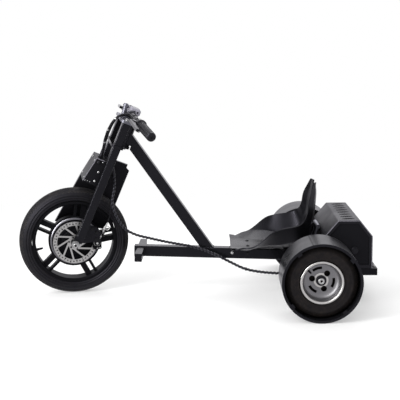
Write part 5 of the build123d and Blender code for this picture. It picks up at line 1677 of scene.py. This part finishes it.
        # Pale strips along the end plates' edges: painted highlight of the folds.
        edge = Shape()
        for side in (-1, 1):
            outline = [(926, 134), (926, 248), (973.5, 304), (1049.5, 304), (1094, 248), (1094, 134)]
            edge.tube([vehicle(x, side * (self.box_half - 0.3), z) for x, z in outline],
                      [1.8] * len(outline), 8)
        edge.finish("box_folded_edges", EDGE_HIGHLIGHT, "chassis", "box", sharp=50)
        port = Shape()
        place = Matrix.Translation(vehicle(1032, -189.0, 196.4)) @ FACING_LEFT
        port.lathe([(10.0, -0.4), (12.4, -0.4), (12.4, 0.8), (11.4, 1.6), (10.0, 1.6)], place, 40)
        port.finish("charge_port_ring", GRIP, "chassis", "controls", sharp=35)


def dress_nodes(bevel: float = 0.8, rounding: float = 7.0) -> None:
    """Gives each CAD node its finish and soft edges.

    Args:
        bevel: Width of the edge bevel, in millimetres.
        rounding: Width of the bevel on tubes with rolled corners, in millimetres.
    """
    for name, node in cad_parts.items():
        node.data.materials.clear()
        node.data.materials.append(FINISH_OF.get(name, POWDER).material())
        for face in node.data.polygons:
            face.use_smooth = True
        soft = node.modifiers.new("soft_edges", "BEVEL")
        soft.width = (rounding if name in ROUNDED else bevel) * MM
        soft.segments = 4 if name in ROUNDED else 2
        soft.limit_method = "ANGLE"
        soft.angle_limit = math.radians(32)
        soft.harden_normals = False
        even_out = node.modifiers.new("even_normals", "WEIGHTED_NORMAL")
        even_out.keep_sharp = True


@dataclass(frozen=True)
class Studio:
    """Floor, light and the camera at the photograph's viewing angle.

    Attributes:
        azimuth: Camera's turn round the object, in degrees.
        elevation: Camera's height angle, in degrees.
        roll: Camera's roll, in degrees.
        distance: Distance to the point looked at, in metres.
        focal: Focal length in pixels of a picture 400 pixels wide.
        look: Point looked at, in the row frame.
    """
    azimuth: float = 1.08
    elevation: float = 9.59
    roll: float = -0.65
    distance: float = 3.443
    focal: float = 916.4
    look: Point = (0.478 - MIDDLE_X * MM, 0.0, 0.3524)

    def camera(self) -> None:
        """Places the camera."""
        turn, lift, roll = (math.radians(v) for v in (self.azimuth, self.elevation, self.roll))
        back = Vector((math.sin(turn) * math.cos(lift), -math.cos(turn) * math.cos(lift), math.sin(lift)))
        right = Vector((math.cos(turn), math.sin(turn), 0.0))
        up = back.cross(right)
        rolled = right * math.cos(roll) + up * math.sin(roll)
        upright = up * math.cos(roll) - right * math.sin(roll)
        data = bpy.data.cameras.new("camera")
        data.sensor_width = 36.0
        data.sensor_fit = "HORIZONTAL"
        data.lens = self.focal / 400 * 36.0
        data.clip_end = 80.0
        camera = bpy.data.objects.new("camera", data)
        place = Matrix((rolled, upright, back)).transposed().to_4x4()
        place.translation = Vector(self.look) + back * self.distance
        camera.matrix_world = place
        bpy.context.scene.collection.objects.link(camera)
        bpy.context.scene.camera = camera

    def lamp(self, name: str, place: Point, aim: Point, size: tuple[float, float], power: float) -> None:
        """Adds one soft area lamp.

        Args:
            name: The lamp's name.
            place: Where it stands.
            aim: The point that it faces.
            size: Its width and height, in metres.
            power: Power in watts.
        """
        data = bpy.data.lights.new(name, "AREA")
        data.energy = power
        data.shape = "RECTANGLE"
        data.size, data.size_y = size
        lamp = bpy.data.objects.new(name, data)
        lamp.location = place
        lamp.rotation_euler = (Vector(aim) - Vector(place)).to_track_quat("-Z", "Y").to_euler()
        bpy.context.scene.collection.objects.link(lamp)

    def floor(self) -> None:
        """Makes a pale floor that takes the shadow and fades into the white backdrop."""
        reach = 40.0
        mesh = bpy.data.meshes.new("floor")
        mesh.from_pydata([(-reach, -reach, 0), (reach, -reach, 0), (reach, reach, 0), (-reach, reach, 0)],
                         [], [(0, 1, 2, 3)])
        floor = bpy.data.objects.new("floor", mesh)
        bpy.context.scene.collection.objects.link(floor)
        made = bpy.data.materials.new("studio_floor_white")
        made.use_nodes = True
        tree = made.node_tree
        tree.nodes.clear()
        place = add_node(tree, "ShaderNodeTexCoord").outputs["Object"]
        parts = add_node(tree, "ShaderNodeSeparateXYZ", {}, {0: place})
        far = add_node(tree, "ShaderNodeVectorMath", {"operation": "LENGTH"}, {0: place}).outputs["Value"]
        fade = add_node(tree, "ShaderNodeMapRange",
                        {"From Min": 0.9, "From Max": 2.2, "interpolation_type": "SMOOTHSTEP"},
                        {"Value": far}).outputs[0]
        rays = add_node(tree, "ShaderNodeLightPath")
        paper = add_node(tree, "ShaderNodeBsdfDiffuse", {"Color": srgb("#fcfcfc")})
        white = add_node(tree, "ShaderNodeEmission", {"Strength": 1.0})
        matt = add_node(tree, "ShaderNodeMixShader", {0: 0.35}, {1: paper.outputs[0], 2: white.outputs[0]})
        seen = add_node(tree, "ShaderNodeMixShader", {}, {0: fade, 1: matt.outputs[0], 2: white.outputs[0]})
        behind = add_node(tree, "ShaderNodeMapRange",
                          {"From Min": -0.5, "From Max": 0.5, "To Min": 0.55, "To Max": 0.9},
                          {"Value": parts.outputs["Y"]}).outputs[0]
        mirrored = add_node(tree, "ShaderNodeEmission", {"Color": BACKDROP_TINT}, {"Strength": behind})
        both = add_node(tree, "ShaderNodeMixShader", {},
                        {0: rays.outputs["Is Glossy Ray"], 1: seen.outputs[0], 2: mirrored.outputs[0]})
        add_node(tree, "ShaderNodeOutputMaterial", {}, {"Surface": both.outputs[0]})
        mesh.materials.append(made)

    def room(self) -> None:
        """Makes the world: white to the camera, and for gloss bright behind the trike and darker in front."""
        world = bpy.data.worlds.new("studio")
        world.use_nodes = True
        bpy.context.scene.world = world
        tree = world.node_tree
        shader = tree.nodes["Background"]
        way = add_node(tree, "ShaderNodeTexCoord").outputs["Generated"]
        parts = add_node(tree, "ShaderNodeSeparateXYZ", {}, {0: way})
        wall = add_node(tree, "ShaderNodeMapRange",
                        {"From Min": -0.35, "From Max": 0.45, "To Min": 0.6, "To Max": 1.1},
                        {"Value": parts.outputs["Y"]}).outputs[0]
        rays = add_node(tree, "ShaderNodeLightPath")
        gloss = add_node(tree, "ShaderNodeMix", {"data_type": "FLOAT", 2: 0.9},
                         {0: rays.outputs["Is Glossy Ray"], 3: wall}).outputs[0]
        level = add_node(tree, "ShaderNodeMix", {"data_type": "FLOAT", 3: 1.0},
                         {0: rays.outputs["Is Camera Ray"], 2: gloss}).outputs[0]
        tint = add_node(tree, "ShaderNodeMix",
                        {"data_type": "RGBA", 6: (1.0, 1.0, 1.0, 1.0), 7: BACKDROP_TINT},
                        {0: rays.outputs["Is Glossy Ray"]}).outputs[2]
        tree.links.new(level, shader.inputs["Strength"])
        tree.links.new(tint, shader.inputs["Color"])

    def build(self) -> None:
        """Makes the camera, the floor, the room and the lamps."""
        self.camera()
        self.floor()
        self.room()
        self.lamp("key", (-1.9, -2.4, 3.0), (0, 0, 0.2), (1.6, 1.6), 40)
        self.lamp("back", (0.6, 1.8, 2.6), (0, 0, 0.3), (2.2, 2.2), 30)
        self.lamp("strip", (-2.2, -2.0, 1.3), (0, 0, 0.4), (0.35, 2.4), 60)
        bpy.context.scene.view_settings.view_transform = "Standard"


def main() -> None:
    """Builds everything in order: camera and cables first."""
    Studio().build()
    dress_nodes()
    for assembly in (Cables(), FrontWheel(), Fork(), Cockpit(), Frame(), RearEnd()):
        assembly.build()
        log.info("%s done", type(assembly).__name__)


if __name__ == "__main__":
    main()
